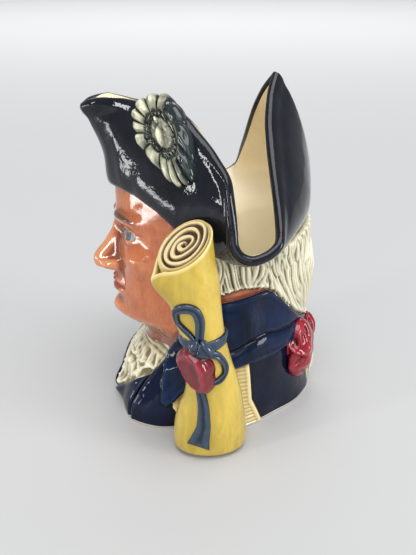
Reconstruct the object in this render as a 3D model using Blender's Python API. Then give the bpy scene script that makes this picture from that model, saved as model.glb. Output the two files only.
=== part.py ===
"""Character jug: the bust of an officer in a tricorne hat, with a rolled scroll for its handle."""

import math

import bmesh
import bpy
import numpy as np

# Driving sizes, in metres.
HEIGHT = 0.187
WALL = 0.0045
FLOOR_THICKNESS = 0.006
FOOT_ROUNDING = 0.0015
SCROLL_CLEARANCE = 0.0015
RIBBON_THICKNESS = 0.0025
RIBBON_WIDTH = 0.0080
SEAL_THICKNESS = 0.0040
COCKADE_RELIEF = 0.0065
BOW_RELIEF = 0.0090
COLLAR_RELIEF = 0.0026
LAPEL_RELIEF = 0.0020
HAIR_RELIEF = 0.0030
EPAULETTE_RELIEF = 0.0012

# The sculpt below is drawn in shares of the height, which is 187 of them.
SHARE_COUNT = 187.2
SHARE = HEIGHT / SHARE_COUNT
WALL_SHARES = WALL / SHARE
COLUMN_COUNT_IN_FRONT = 44
COLUMN_COUNT_AT_BACK = 44
ROWS_BELOW_HAT = 46
ROWS_OF_HAT = 9
ROWS_INSIDE = 16
SHELL_TRIANGLES = 5200


def smooth_step(low, high, value):
    part = np.clip((value - low) / (high - low), 0.0, 1.0)
    return part * part * (3.0 - 2.0 * part)


def bell(value, centre, width):
    return np.exp(-(((value - centre) / width) ** 2))


def curve(knots, values, at):
    """Smooth curve through the knots that never overshoots them."""
    knots = np.asarray(knots, float)
    values = np.asarray(values, float)
    step = np.diff(knots)
    slope = np.diff(values) / step
    tangent = np.zeros_like(values)
    same_way = slope[1:] * slope[:-1] > 0
    total = np.where(same_way, slope[1:] + slope[:-1], 1.0)
    tangent[1:-1] = np.where(same_way, 2.0 * slope[1:] * slope[:-1] / total, 0.0)
    at = np.clip(at, knots[0], knots[-1])
    spot = np.clip(np.searchsorted(knots, at, side="right") - 1, 0, len(step) - 1)
    width = step[spot]
    part = (at - knots[spot]) / width
    low = values[spot]
    high = values[spot + 1]
    turn = part * part * (3.0 - 2.0 * part)
    lead = part * (1.0 - part) ** 2 * width * tangent[spot]
    trail = -part * part * (1.0 - part) * width * tangent[spot + 1]
    return low + (high - low) * turn + lead + trail


# Radius of the bust at heights above the ground, for five directions round it.
PROFILES = {
    0: ((0, 60.5), (5, 62.2), (12, 59.2), (20, 56.4), (27, 53.4), (32, 48.8), (36, 45.2),
        (41, 43.5), (46, 45), (50, 50), (56, 56), (66, 57.2), (90, 57.5), (103, 57),
        (112, 58.5), (131, 58.5)),
    15: ((0, 59.4), (5, 60.6), (12, 58.2), (20, 55.2), (27, 51.8), (32, 47.4), (36, 44.4),
         (41, 43), (46, 43.5), (50, 48), (56, 54.6), (66, 56.4), (90, 56.8), (103, 55.5),
         (112, 56.5), (131, 55)),
    30: ((0, 62.2), (8, 62.2), (16, 59.5), (27, 53), (35, 46.5), (41, 41.5), (46, 41.5),
         (51, 45), (58, 51), (70, 53.4), (90, 54), (103, 53), (113, 53), (131, 51)),
    60: ((0, 53), (12, 53.5), (22, 53), (34, 51), (44, 48), (54, 45), (62, 43.5),
         (70, 43), (80, 44), (94, 46.5), (108, 48.5), (122, 50.5)),
    90: ((0, 50.0), (10, 49.8), (30, 49.0), (46, 47), (58, 46), (68, 44.5), (76, 43),
         (84, 43), (94, 44.5), (106, 48)),
    125: ((0, 44.8), (10, 45.6), (30, 45.8), (46, 44.5), (58, 43.5), (70, 42.5),
          (80, 42.5), (92, 44), (108, 46.5)),
    155: ((0, 49.5), (10, 48.5), (30, 46), (46, 44.5), (58, 45.5), (72, 46.5),
          (86, 46), (98, 45.5), (110, 46)),
    180: ((0, 54), (12, 51.5), (30, 48.5), (46, 46.5), (56, 48), (66, 50), (76, 50.3),
          (88, 48.8), (100, 47), (110, 47)),
}

# The fold where the hat leaves the head: direction, radius and height.
FOLD = (
    (0, 61, 131.5), (15, 56.6, 131), (29, 53.5, 129.5), (42, 53.6, 126.5),
    (53, 55, 122), (62, 56.4, 116.5), (71, 56, 110), (81, 54.6, 104.5), (90, 53.6, 101),
    (98, 53.2, 100), (106, 52.6, 100.5), (115, 51.6, 102), (125, 50, 104.5),
    (137, 48, 107), (153, 47, 109), (168, 47.6, 110.5), (180, 48.6, 111),
)
# The crest of the brim over the same directions: across, back and up, then how far the
# flap between fold and crest swells outward.
CREST = (
    (0, 0, -73.6, 173.5, -2.8), (5, 4.0, -69.5, 176, -1.5), (11, 7.2, -61.5, 177.3, 0.5),
    (17, 10.5, -54, 177.4, 2.5), (25, 15.5, -45, 176.6, 4), (34, 22.5, -35, 175.6, 5),
    (44, 31, -25.5, 174.2, 5.5), (54, 42, -16.2, 165.3, 5.5), (63, 52.5, -8.8, 155.8, 5),
    (72, 62.5, -4, 145.5, 4), (79, 69, -3.6, 132, 2.5), (85, 72.6, -3.8, 120, 1.5),
    (91, 75.6, -0.5, 113.6, 1), (98, 76.5, 4.5, 112, 1), (105, 75, 12, 113.8, 1),
    (112, 71.4, 18, 119, 2), (119, 64.5, 18.6, 123.5, 4), (130, 51, 18.4, 135.5, 7),
    (143, 36, 18.6, 148.5, 9), (157, 21.5, 19.4, 163, 10), (169, 9, 22.6, 177.5, 9),
    (180, 0, 27.2, 187.2, 7.5),
)
FAR_BRIM_DROP = (
    (0, 0.2), (12, 0.3), (15, 1.4), (18, 2.6), (21, 3.6), (25, 4.8), (30, 6), (40, 7.5),
    (55, 7.5), (72, 4.5), (82, 0), (180, 0),
)

# Regions of low relief, as direction and height round their outlines.
COLLAR = (
    (45, 44), (53, 54), (60, 69), (70, 73), (83, 75), (101, 77.7), (116, 79.5), (121, 77.5),
    (130, 71), (140, 63), (150, 56.5), (160, 52), (170, 49.5), (200, 49), (200, 43),
    (150, 42.5), (131, 42), (120, 41), (110, 40.2), (100, 40), (91, 38.3), (80, 35), (70, 33),
    (62, 26), (56, 18.5), (51.5, 14.5), (48.5, 17), (47.5, 28),
)
HAIR = (
    (53, 140), (54.5, 112), (52.5, 100), (54, 89), (57, 79), (63, 76), (74, 77.5),
    (85, 80), (96, 82.4), (105, 81.8), (113, 80.9), (118, 79.2), (121, 77.8), (126, 74.3),
    (130, 70.8), (138, 64.8), (146, 59.5), (158, 54), (169, 50), (180, 47.5), (200, 47.5),
    (200, 140),
)
CRAVAT = (
    (-47, 42), (-40, 35), (-34, 26), (-24, 20), (-12, 11.5), (0, 4.5), (12, 11.5),
    (24, 20), (34, 26), (40, 35), (47, 42), (40, 43.5), (20, 39.5), (0, 38.5), (-20, 39.5),
    (-40, 43.5),
)
LAPEL = (
    (45, 44), (39, 35), (33.5, 25), (30.5, 14), (29.5, 5), (29, -8), (3, -8), (2, 4),
    (12, 12), (24, 20.5), (34, 27), (40, 37),
)
COAT_FRONT = (
    (45.5, 42), (39.5, 33), (34.5, 23), (31.5, 12), (30.5, 4), (30, -8), (64, -8),
    (62, 10), (54, 30), (50, 44),
)
EPAULETTE = (
    (54, 28), (66, 44), (84, 52), (100, 50), (101, 40), (103.2, 17), (112.5, 0), (117, -8),
    (96, -8), (84, -4), (72, 4), (62, 8), (56.5, 11), (54.5, 14),
)


CREASE = (
    (45, 40), (60, 45), (80, 46), (92, 47.7), (102, 53.2), (113, 54.4), (127, 52), (140, 52),
    (200, 49),
)


def region(outline, angle, height):
    """Distance inside the outline, in shares, over direction and height."""
    points = np.array([(corner[0] * 0.85, corner[1]) for corner in outline], float)
    across = angle * 0.85
    best = np.full(across.shape, 1e9)
    inside = np.zeros(across.shape, bool)
    for start, end in zip(points, np.roll(points, -1, axis=0)):
        run = end - start
        along = ((across - start[0]) * run[0] + (height - start[1]) * run[1]) / (run @ run)
        along = np.clip(along, 0.0, 1.0)
        off = np.hypot(across - start[0] - along * run[0], height - start[1] - along * run[1])
        best = np.minimum(best, off)
        crosses = (start[1] > height) != (end[1] > height)
        rise = np.where(run[1] == 0.0, 1.0, run[1])
        reach = start[0] + (height - start[1]) * run[0] / rise
        inside ^= crosses & (across < reach)
    return np.where(inside, best, -best)


def bare_radius(angle, height):
    """Radius of the plain bust, before any relief."""
    turn = np.abs(angle)
    stops = np.array(sorted(PROFILES), float)
    layers = []
    for stop in sorted(PROFILES):
        knots, radii = zip(*PROFILES[stop])
        layers.append(curve(knots, radii, height))
    layers = np.array(layers)
    spot = np.clip(np.searchsorted(stops, turn, side="right") - 1, 0, len(stops) - 2)
    part = (turn - stops[spot]) / (stops[spot + 1] - stops[spot])
    pick = np.arange(turn.size).reshape(turn.shape)
    flat = layers.reshape(len(stops), -1)
    last = len(stops) - 1

    def layer(index):
        index = np.where(index < 0, -index, index)
        index = np.where(index > last, 2 * last - index, index)
        return flat[index, pick]

    before, low, high, after = (layer(spot + step) for step in (-1, 0, 1, 2))
    square = part * part
    cube = square * part
    return 0.5 * (
        2.0 * low + (high - before) * part
        + (2.0 * before - 5.0 * low + 4.0 * high - after) * square
        + (3.0 * low - before - 3.0 * high + after) * cube
    )


# The face is a plain design in thirds: chin to nose, nose to brow, brow to hairline.
CHIN_HEIGHT = 52.5
FACE_THIRD = 30.5
NOSE_BASE = CHIN_HEIGHT + FACE_THIRD
BROW = NOSE_BASE + FACE_THIRD
EYE = BROW - 8.0
MOUTH = NOSE_BASE - 9.8
EYE_ACROSS = 15.5


def face(across, height):
    """Relief of the face over distance across it and height."""
    side = np.abs(across)
    nose_rise = curve((NOSE_BASE - 4, NOSE_BASE - 1.5, NOSE_BASE + 1.5, NOSE_BASE + 4.5,
                       NOSE_BASE + 14, EYE, EYE + 7), (0, 5.5, 13, 14.5, 8.5, 3.8, 0.6), height)
    nose_rise = np.where(height < NOSE_BASE - 4, 0.0, nose_rise)
    nose_rise = np.where(height > EYE + 7, 0.6 * bell(height, EYE + 7, 3.0), nose_rise)
    nose_width = curve((NOSE_BASE - 2, NOSE_BASE + 5, EYE + 2), (7.0, 6.2, 4.2), height)
    total = nose_rise * np.exp(-np.abs(side / nose_width) ** 2.2)
    total += 4.6 * bell(side, 7.2, 3.2) * bell(height, NOSE_BASE + 2.6, 3.2)
    total += 2.4 * bell(side, 13.5, 10.0) * bell(height, BROW, 3.6)
    total -= 4.2 * bell(side, EYE_ACROSS - 1.0, 8.5) * bell(height, EYE, 4.8)
    total += 3.4 * bell(side, EYE_ACROSS, 6.2) * bell(height, EYE - 0.6, 3.6)
    total += 3.2 * bell(side, 25.0, 11.0) * bell(height, EYE - 12.5, 8.0)
    total += 2.6 * bell(side, 0.0, 15.0) * bell(height, MOUTH, 9.5)
    total += 1.6 * bell(side, 0.0, 9.5) * bell(height, MOUTH + 2.4, 1.9)
    total += 2.2 * bell(side, 0.0, 8.2) * bell(height, MOUTH - 3.2, 2.5)
    total -= 1.3 * bell(side, 0.0, 11.5) * bell(height, MOUTH - 0.2, 1.1)
    total -= 1.8 * bell(side, 0.0, 10.0) * bell(height, MOUTH - 8.0, 2.8)
    total += 5.6 * bell(side, 0.0, 12.0) * bell(height, CHIN_HEIGHT + 5.5, 5.5)
    return total


def hair_waves(angle, height):
    """Locks that fall from the hat and draw together at the nape."""
    to_nape = 180.0 - np.abs(angle)
    fall = np.clip((height - 42.0) / 66.0, 0.02, 1.2)
    gather = fall ** (0.3 + 0.35 * np.clip(np.abs(angle) / 180.0, 0.0, 1.0))
    strand = to_nape * 0.85 / gather
    return 0.75 * np.sin(strand * 0.5) * gather


def bust_radius(angle, height):
    """Outer radius of the bust with all its carving, in shares."""
    radius = bare_radius(angle, height)
    side = np.abs(angle)
    across = np.radians(angle) * radius
    open_face = smooth_step(58.0, 46.0, side)
    radius = radius + face(across, height) * open_face
    cravat = region(CRAVAT, angle, height)
    folds = 0.9 * np.sin(height * 0.55 + 1.6 * np.cos(np.radians(angle) * 3.0))
    radius += smooth_step(-1.0, 2.0, cravat) * (0.2 + folds)
    turned = lambda outline: region(outline, side, height)
    radius += LAPEL_RELIEF / SHARE * smooth_step(-1.2, 1.2, turned(LAPEL))
    radius += 1.6 * LAPEL_RELIEF / SHARE * smooth_step(-1.2, 1.2, turned(COAT_FRONT)) * (
        smooth_step(60.0, 46.0, side))
    collar = turned(COLLAR)
    epaulette = turned(EPAULETTE)
    shown = smooth_step(1.0, -1.0, collar)
    radius += EPAULETTE_RELIEF / SHARE * smooth_step(-0.8, 0.8, epaulette) * shown
    radius += 0.4 * np.sin(height * 1.15) * smooth_step(2.0, 4.0, epaulette) * shown
    crease = curve(*zip(*CREASE), side)
    near = smooth_step(60.0, 46.0, side)
    leaf = 1.0 + 0.42 * bell(height, crease - 5.0, 4.2) + 0.55 * near
    radius += COLLAR_RELIEF / SHARE * leaf * smooth_step(-1.2, 1.2, collar)
    fold = bell(height, crease + 0.8, 1.6) * smooth_step(60.0, 80.0, side)
    radius -= 0.9 * fold * smooth_step(1.0, 4.0, collar)
    hair = turned(HAIR)
    body = HAIR_RELIEF / SHARE + hair_waves(angle, height)
    return radius + body * smooth_step(-1.2, 2.4, hair)


def spoke(angle, radius, height):
    turn = np.radians(angle)
    return np.stack([radius * np.sin(turn), -radius * np.cos(turn), height], axis=-1)


def hat_centre(angle, rise):
    """The middle of the brim's wall, from the fold at rise 0 to the crest at rise 1."""
    side = np.abs(angle)
    stops, radii, heights = zip(*FOLD)
    half = WALL_SHARES / 2.0
    fold_radius = curve(stops, radii, side) - half
    fold_height = curve(stops, heights, side) + 0.6 * half
    stops, across, back, up, swell = zip(*CREST)
    way = np.where(angle < 0, -1.0, 1.0)
    drop_at, drop = zip(*FAR_BRIM_DROP)
    lower = np.where(angle < 0, curve(drop_at, drop, side), 0.0)
    crest = np.stack([way * curve(stops, across, side), curve(stops, back, side),
                      curve(stops, up, side) - lower], axis=-1)
    fold = spoke(angle, fold_radius, fold_height)
    turn = np.radians(angle)
    outward = np.stack([np.sin(turn), -np.cos(turn), np.zeros_like(turn)], axis=-1)
    belly = curve(stops, swell, side)[..., None] * outward
    part = rise[..., None]
    arch = 4.0 * part * (1.0 - part)
    flare = (part - part * part) * (1.0 - part) * 3.0
    lift = np.array([0.0, 0.0, 1.0]) * smooth_step(70.0, 92.0, side)[..., None]
    lift = lift * smooth_step(128.0, 108.0, side)[..., None]
    return fold + (crest - fold) * part + belly * arch - lift * flare * 2.0


def unit_rows(vectors):
    return vectors / np.maximum(np.linalg.norm(vectors, axis=-1, keepdims=True), 1e-9)


def brim_surfaces(angles, rises):
    """Outer and inner faces of the brim, rounded together at the crest."""
    turn, rise = np.meshgrid(angles, rises)
    centre = hat_centre(turn, rise)
    around = hat_centre(turn + 1.0, rise) - hat_centre(turn - 1.0, rise)
    upward = hat_centre(turn, rise + 0.01) - hat_centre(turn, rise - 0.01)
    normal = unit_rows(np.cross(around, upward))
    length = np.linalg.norm(hat_centre(turn, np.ones_like(rise)) - hat_centre(turn, 0 * rise), axis=-1)
    to_crest = (1.0 - rise) * length
    half = WALL_SHARES / 2.0
    within = np.clip(1.0 - to_crest / half, 0.0, 1.0)
    reach = half * np.sqrt(np.clip(1.0 - within * within, 0.0, 1.0))
    return centre + normal * reach[..., None], centre - normal * reach[..., None]


def column_angles():
    front = np.linspace(0.0, 1.0, COLUMN_COUNT_IN_FRONT // 2 + 1) ** 1.12 * 100.0
    back = np.linspace(100.0, 180.0, COLUMN_COUNT_AT_BACK // 2 + 1)[1:]
    near = np.concatenate([front, back])
    far = -near[1:-1][::-1]
    return np.concatenate([near, far])


def lowest_near(grid, reach_rows, reach_columns):
    """Least value within a window of the grid, whose columns go all the way round."""
    best = grid.copy()
    rows = len(grid)
    for row_step in range(-reach_rows, reach_rows + 1):
        index = np.clip(np.arange(rows) + row_step, 0, rows - 1)
        for column_step in range(-reach_columns, reach_columns + 1):
            best = np.minimum(best, np.roll(grid[index], column_step, axis=1))
    return best


def averaged(grid, passes):
    for _ in range(passes):
        wide = (np.roll(grid, 1, axis=1) + 2.0 * grid + np.roll(grid, -1, axis=1)) / 4.0
        padded = np.vstack([wide[:1], wide, wide[-1:]])
        grid = (padded[:-2] + 2.0 * padded[1:-1] + padded[2:]) / 4.0
    return grid


def shell_rings():
    """Rings of points up the outside, over the crest and down the inside, in shares."""
    angles = column_angles()
    side = np.abs(angles)
    stops, radii, heights = zip(*FOLD)
    fold_height = curve(stops, heights, side)
    shares_up = np.linspace(0.0, 1.0, ROWS_BELOW_HAT)
    turn, up = np.meshgrid(angles, shares_up)
    height = up * fold_height
    radius = bust_radius(turn, height)
    rounding = FOOT_ROUNDING / SHARE
    foot = spoke(angles, radius[0] - rounding, np.zeros_like(angles))
    height[0] = rounding
    body = spoke(turn, radius, height)
    half = WALL_SHARES / 2.0
    rises = np.concatenate([np.linspace(0.03, 0.93, ROWS_OF_HAT), [0.965, 0.99]])
    outer, inner = brim_surfaces(angles, rises)
    crest = hat_centre(angles, np.ones_like(angles))
    floor = FLOOR_THICKNESS / SHARE
    inside_up = np.linspace(0.0, 1.0, ROWS_INSIDE)
    smooth = averaged(lowest_near(radius, 2, 2), 3) - WALL_SHARES
    inside_rings = []
    top = fold_height - half
    for up in inside_up:
        level = floor + (top - floor) * up
        spot = level / fold_height * (ROWS_BELOW_HAT - 1)
        low = np.clip(spot.astype(int), 0, ROWS_BELOW_HAT - 2)
        columns = np.arange(len(angles))
        part = spot - low
        size = smooth[low, columns] * (1.0 - part) + smooth[low + 1, columns] * part
        corner = max(0.0, 1.0 - up / 0.06) ** 2 * 4.0
        inside_rings.append(spoke(angles, size - corner, level))
    rings = [foot, *body, *outer, crest, *inner[::-1], *inside_rings[::-1]]
    return rings


def new_object(name, points, faces, collection):
    mesh = bpy.data.meshes.new(name)
    mesh.from_pydata([tuple(point) for point in points], [], faces)
    mesh.update()
    made = bpy.data.objects.new(name, mesh)
    collection.objects.link(made)
    return made


def loft(name, rings, collection):
    """Closes a stack of rings into one solid, with a centre point at each end."""
    count = len(rings[0])
    points = [np.asarray(rings[0]).mean(axis=0)]
    for ring in rings:
        points.extend(ring)
    points.append(np.asarray(rings[-1]).mean(axis=0))
    last = len(points) - 1
    faces = []
    for column in range(count):
        beside = (column + 1) % count
        faces.append((0, 1 + beside, 1 + column))
        for row in range(len(rings) - 1):
            low = 1 + row * count
            high = low + count
            faces.append((low + column, low + beside, high + beside, high + column))
        top = 1 + (len(rings) - 1) * count
        faces.append((top + column, top + beside, last))
    scaled = np.array(points) * SHARE
    return new_object(name, scaled, faces, collection)


# The scroll: height, distance back of its middle, distance out, half breadth, half depth.
SCROLL = (
    (0, -14.2, 61.5, 17.8, 13.8), (2.5, -14.2, 61.8, 19.0, 15.0), (8, -14.2, 62.2, 19.5, 15.6),
    (17, -14.3, 63.5, 18.9, 15.2), (27, -14.0, 65.5, 17.1, 14.0), (35, -13.4, 67.0, 15.0, 12.8),
    (46, -14.0, 69.0, 13.1, 11.6), (56, -15.8, 70.6, 11.7, 10.8), (67, -17.5, 71.4, 10.6, 10.2),
    (76, -20.0, 71.4, 11.6, 10.4), (86, -21.9, 71.0, 12.4, 11.0), (100, -24.5, 70.2, 13.9, 11.9),
    (110, -26.9, 69.6, 14.5, 12.2), (130, -28.4, 68.8, 14.4, 12.6),
)
SCROLL_TOP = 118.8
SCROLL_TILT = 30.0
SCROLL_LEAN = 27.0
SCROLL_SIDES = 28
SCROLL_ROWS = 16


def scroll_size(level):
    stops, back, out, breadth, depth = zip(*SCROLL)
    return [curve(stops, values, level) for values in (back, out, breadth, depth)]


def scroll_point(level, direction, lift=0.0):
    """Point of the scroll's skin: direction 0 faces outward, 90 forward."""
    back, out, breadth, depth = scroll_size(level)
    turn = np.radians(direction)
    corner = 6.2 * bell(level, 102.0, 9.0) * np.exp(-((direction - 62.0) / 26.0) ** 2)
    across = (breadth + lift + corner) * np.sin(turn)
    outward = (depth + lift + 0.4 * corner) * np.cos(turn)
    return np.stack([out + outward, back - across, level + 0.0 * turn], axis=-1)


def scroll_top_level(x, y):
    """Height of the sloping end of the scroll over a point across and back."""
    back, out, _, _ = scroll_size(SCROLL_TOP)
    rise = math.tan(math.radians(SCROLL_TILT)) * (y - back)
    lean = math.tan(math.radians(SCROLL_LEAN)) * (out - x)
    return SCROLL_TOP + rise + lean


def scroll_solid(collection):
    rings = []
    base = SCROLL_CLEARANCE / SHARE
    directions = np.linspace(0.0, 360.0, SCROLL_SIDES, endpoint=False)
    directions = np.where(directions > 180.0, directions - 360.0, directions)
    bottom = scroll_point(0.0 * directions, directions, -1.2)
    bottom[:, 2] = base
    rings.append(bottom)
    for row in range(SCROLL_ROWS + 1):
        part = row / SCROLL_ROWS
        start = scroll_point(base + 2.0 + 0.0 * directions, directions)
        top = scroll_point(SCROLL_TOP + 0.0 * directions, directions)
        level = start[:, 2]
        reach = scroll_top_level(top[:, 0], top[:, 1])
        for _ in range(4):
            top = scroll_point(reach, directions)
            reach = scroll_top_level(top[:, 0], top[:, 1])
        height = level + (reach - level) * part
        rings.append(scroll_point(height, directions))
    middle = rings[-1].mean(axis=0)
    rings.append(middle + (rings[-1] - middle) * 0.9 + np.array([0.0, 0.0, -0.6]))
    return facing_out(loft("scroll_form", rings, collection))


def wrapped(values, count, closed):
    """Evenly resamples a path of a few points into a smooth one."""
    values = np.asarray(values, float)
    spans = len(values) if closed else len(values) - 1
    if closed:
        padded = np.vstack([values[-1:], values, values[:2]])
    else:
        padded = np.vstack([2 * values[0] - values[1], values, 2 * values[-1] - values[-2]])
    at = np.linspace(0.0, spans, count, endpoint=not closed)
    spot = np.minimum(at.astype(int), spans - 1)
    part = (at - spot)[:, None]
    one, two, three, four = (padded[spot + step] for step in range(4))
    return 0.5 * (
        2 * two + (three - one) * part
        + (2 * one - 5 * two + 4 * three - four) * part**2
        + (3 * two - one - 3 * three + four) * part**3
    )


def scroll_frame(level, direction):
    """Skin point, way out, way forward and way up of the scroll."""
    here = scroll_point(level, direction)
    forward = unit_rows(scroll_point(level, direction + 1.0) - scroll_point(level, direction - 1.0))
    upward = unit_rows(scroll_point(level + 0.5, direction) - scroll_point(level - 0.5, direction))
    out = unit_rows(np.cross(upward, forward))
    out *= np.sign(np.sum(out * (here - np.array([70.0, -17.0, 0.0])) * [1, 1, 0], axis=-1))[:, None]
    return here, out, forward, upward


def strap(name, path, widths, count, closed, collection):
    """A flat band laid along a path on the scroll, given as level and direction."""
    spread = np.linspace(0.0, 1.0, len(widths))
    at = np.linspace(0.0, 1.0, count, endpoint=not closed)
    broad = np.interp(at, spread, widths)
    route = wrapped(path, count, closed)
    here, out, _, _ = scroll_frame(route[:, 0], route[:, 1])
    if closed:
        ahead = np.roll(here, -1, axis=0) - np.roll(here, 1, axis=0)
    else:
        ahead = np.gradient(here, axis=0)
    side = unit_rows(np.cross(unit_rows(ahead), out))
    thick = RIBBON_THICKNESS / SHARE
    shape = ((-0.5, -1.4), (-0.5, 0.45 * thick), (-0.36, 0.8 * thick), (0.0, thick),
             (0.36, 0.8 * thick), (0.5, 0.45 * thick), (0.5, -1.4))
    rings = []
    for spot in range(count):
        rings.append(np.array([
            here[spot] + side[spot] * across * broad[spot] + out[spot] * rise
            for across, rise in shape
        ]))
    return loop(name, rings, collection) if closed else facing_out(loft(name, rings, collection))


def loop(name, rings, collection):
    """Joins a round of rings into one closed tube."""
    count = len(rings[0])
    points = [point for ring in rings for point in ring]
    faces = []
    for row in range(len(rings)):
        low = row * count
        high = (row + 1) % len(rings) * count
        for column in range(count):
            beside = (column + 1) % count
            faces.append((low + column, low + beside, high + beside, high + column))
    return facing_out(new_object(name, np.array(points) * SHARE, faces, collection))


def facing_out(obj):
    """Turns the faces of a closed mesh outward."""
    work = bmesh.new()
    work.from_mesh(obj.data)
    bmesh.ops.recalc_face_normals(work, faces=work.faces)
    if work.calc_volume(signed=True) < 0:
        bmesh.ops.reverse_faces(work, faces=work.faces)
    work.to_mesh(obj.data)
    work.free()
    return obj


def lump(name, centre, axes, radii, rings, sides, wave, collection):
    """A rounded mass about a centre, with three axes, three radii and a relief of its own."""
    axes = unit_rows(np.asarray(axes, float))
    stack = []
    for row in range(1, rings):
        polar = math.pi * row / rings
        turn = np.linspace(0.0, 2.0 * math.pi, sides, endpoint=False)
        swell = 1.0 + wave(polar, turn)
        round_about = np.stack([np.sin(polar) * np.cos(turn), np.sin(polar) * np.sin(turn),
                                np.cos(polar) + 0.0 * turn], axis=-1)
        offset = round_about * np.asarray(radii) * swell[:, None]
        stack.append(np.asarray(centre) + offset @ axes)
    return facing_out(loft(name, stack, collection))


def seal_solid(collection):
    level, direction = SEAL_PLACE
    here, out, forward, upward = scroll_frame(np.array([level]), np.array([direction]))
    tall, broad = SEAL_SIZE
    thick = SEAL_THICKNESS / SHARE
    stack = []
    for size, rise in ((0.98, -3.5), (1.0, 0.3), (0.96, 0.75), (0.84, 1.0), (0.66, 0.92), (0.3, 0.9)):
        turn = np.linspace(0.0, 2.0 * math.pi, 22, endpoint=False)
        edge = size * (1.0 + 0.05 * np.sin(3.0 * turn + 0.9) + 0.035 * np.sin(5.0 * turn))
        x = edge * np.cos(turn)
        y = edge * np.sin(turn)
        lift = rise * thick * (1.12 - 0.42 * x + 0.12 * y) if rise > 0 else rise + 0.0 * x
        stack.append(here[0] + np.outer(lift, out[0]) + np.outer((x + 0.22 * y) * broad, forward[0])
                     + np.outer(y * tall, upward[0]))
    return facing_out(loft("seal_form", stack, collection))


def cockade_solid(collection):
    """A pleated rosette on the near front flap of the hat."""
    rise = COCKADE_RELIEF / SHARE
    sides = 3 * COCKADE_PLEATS
    turn = np.linspace(0.0, 2.0 * math.pi, sides, endpoint=False)
    pleat = -np.cos(turn * COCKADE_PLEATS)
    stack = []
    for size, lift, flute in ((0.95, None, 0.03), (1.0, 0.20, 0.035), (0.94, 0.55, 0.03),
                              (0.76, 0.85, 0.015), (0.55, 0.70, 0.0), (0.45, 0.60, 0.0),
                              (0.34, 0.95, 0.0), (0.15, 0.90, 0.0)):
        reach = size + flute * pleat
        angle = COCKADE_PLACE[0] + reach * (15.8 * np.cos(turn) - 3.0 * np.sin(turn))
        part = COCKADE_PLACE[1] + reach * (0.31 * np.sin(turn) - 0.09 * np.cos(turn))
        skin, out = flap_skin(angle, part)
        depth = -2.2 if lift is None else rise * lift * (1.0 + 0.10 * pleat * (size > 0.5))
        stack.append(skin + out * (np.zeros_like(turn) + depth)[:, None])
    return facing_out(loft("cockade_form", stack, collection))


def flap_skin(angle, rise):
    """Outer face of the brim without its rounded crest, and the way out of it."""
    around = hat_centre(angle + 1.0, rise) - hat_centre(angle - 1.0, rise)
    upward = hat_centre(angle, rise + 0.01) - hat_centre(angle, rise - 0.01)
    normal = unit_rows(np.cross(around, upward))
    return hat_centre(angle, rise) + normal * WALL_SHARES / 2.0, normal


# The hair ribbon: middle and size of its near loop, the way that loop faces, its knot and the
# tail of hair below it.
BOW_LOOP_PLACE = (21.0, 42.0, 33.8)
BOW_LOOP_SIZE = (12.8, 18.4)
BOW_LOOP_FACES = 148.0
BOW_KNOT_PLACE = (0.0, 51.0, 36.5)
BOW_KNOT_SIZE = (7.5, 6.5, 9.5)
QUEUE_PLACE = (0.0, 52.0, 17.0)
QUEUE_SIZE = (8.0, 5.2, 16.4)


def bow_solids(collection):
    """The hair ribbon at the nape: a gathered loop to each side of a knot."""
    made = []
    folds = lambda polar, turn: 0.10 * np.sin(3.0 * turn + 2.0 * polar) * np.sin(polar)
    deep = BOW_RELIEF / SHARE
    for way in (1.0, -1.0):
        lean = np.radians(BOW_LOOP_FACES)
        out = (way * math.sin(lean), -math.cos(lean), 0.0)
        along = (way * math.cos(lean), math.sin(lean), 0.0)
        axes = (along, out, (0.0, 0.0, 1.0))
        centre = (way * BOW_LOOP_PLACE[0], BOW_LOOP_PLACE[1], BOW_LOOP_PLACE[2])
        size = (BOW_LOOP_SIZE[0], deep, BOW_LOOP_SIZE[1])
        made.append(lump(f"bow_loop_{int(way + 1)}", centre, axes, size, 8, 18, folds, collection))
    plain = lambda polar, turn: 0.0 * turn
    made.append(lump("bow_knot", BOW_KNOT_PLACE, np.eye(3), BOW_KNOT_SIZE, 6, 12, plain,
                     collection))
    made.append(lump("queue_form", QUEUE_PLACE, np.eye(3), QUEUE_SIZE, 8, 14, plain, collection))
    return made


# Ribbon, seal and rosette: levels and directions on the scroll, direction and rise on the hat.
BAND_LEVEL = 70.2
BAND_SIDES = 32
BAND_HALF = 3.4
KNOT_PLACE = (69.5, 14.0)
KNOT_SIZE = (5.6, 4.2, 5.0)
UPPER_LOOP = ((72, 13), (80.5, 3), (85.2, 0), (89.5, 5), (91.2, 18), (90.8, 34), (88.5, 49),
              (83.2, 56), (80, 43), (77.2, 30), (72, 20))
UPPER_WIDTHS = (0.50, 0.60, 0.62, 0.60, 0.40, 0.32)
LOWER_LOOP = ((68, 4), (66, -8), (64.3, -24), (60, -35), (55, -34), (52, -20), (50, -2), (50, 12))
LOWER_WIDTHS = (0.50, 0.52, 0.42, 0.40, 0.34)
TAIL = ((47, 34), (44, 32), (36.2, 25), (28.5, 19), (21.5, 17), (14, 21), (9, 24))
TAIL_WIDTHS = (5.0, 5.0, 5.5, 6.5, 7.5, 10.0, 12.5)
SEAL_PLACE = (56.5, 41.0)
SEAL_SIZE = (12.6, 9.8)
COCKADE_PLACE = (42.5, 0.755)
COCKADE_PLEATS = 13


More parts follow.
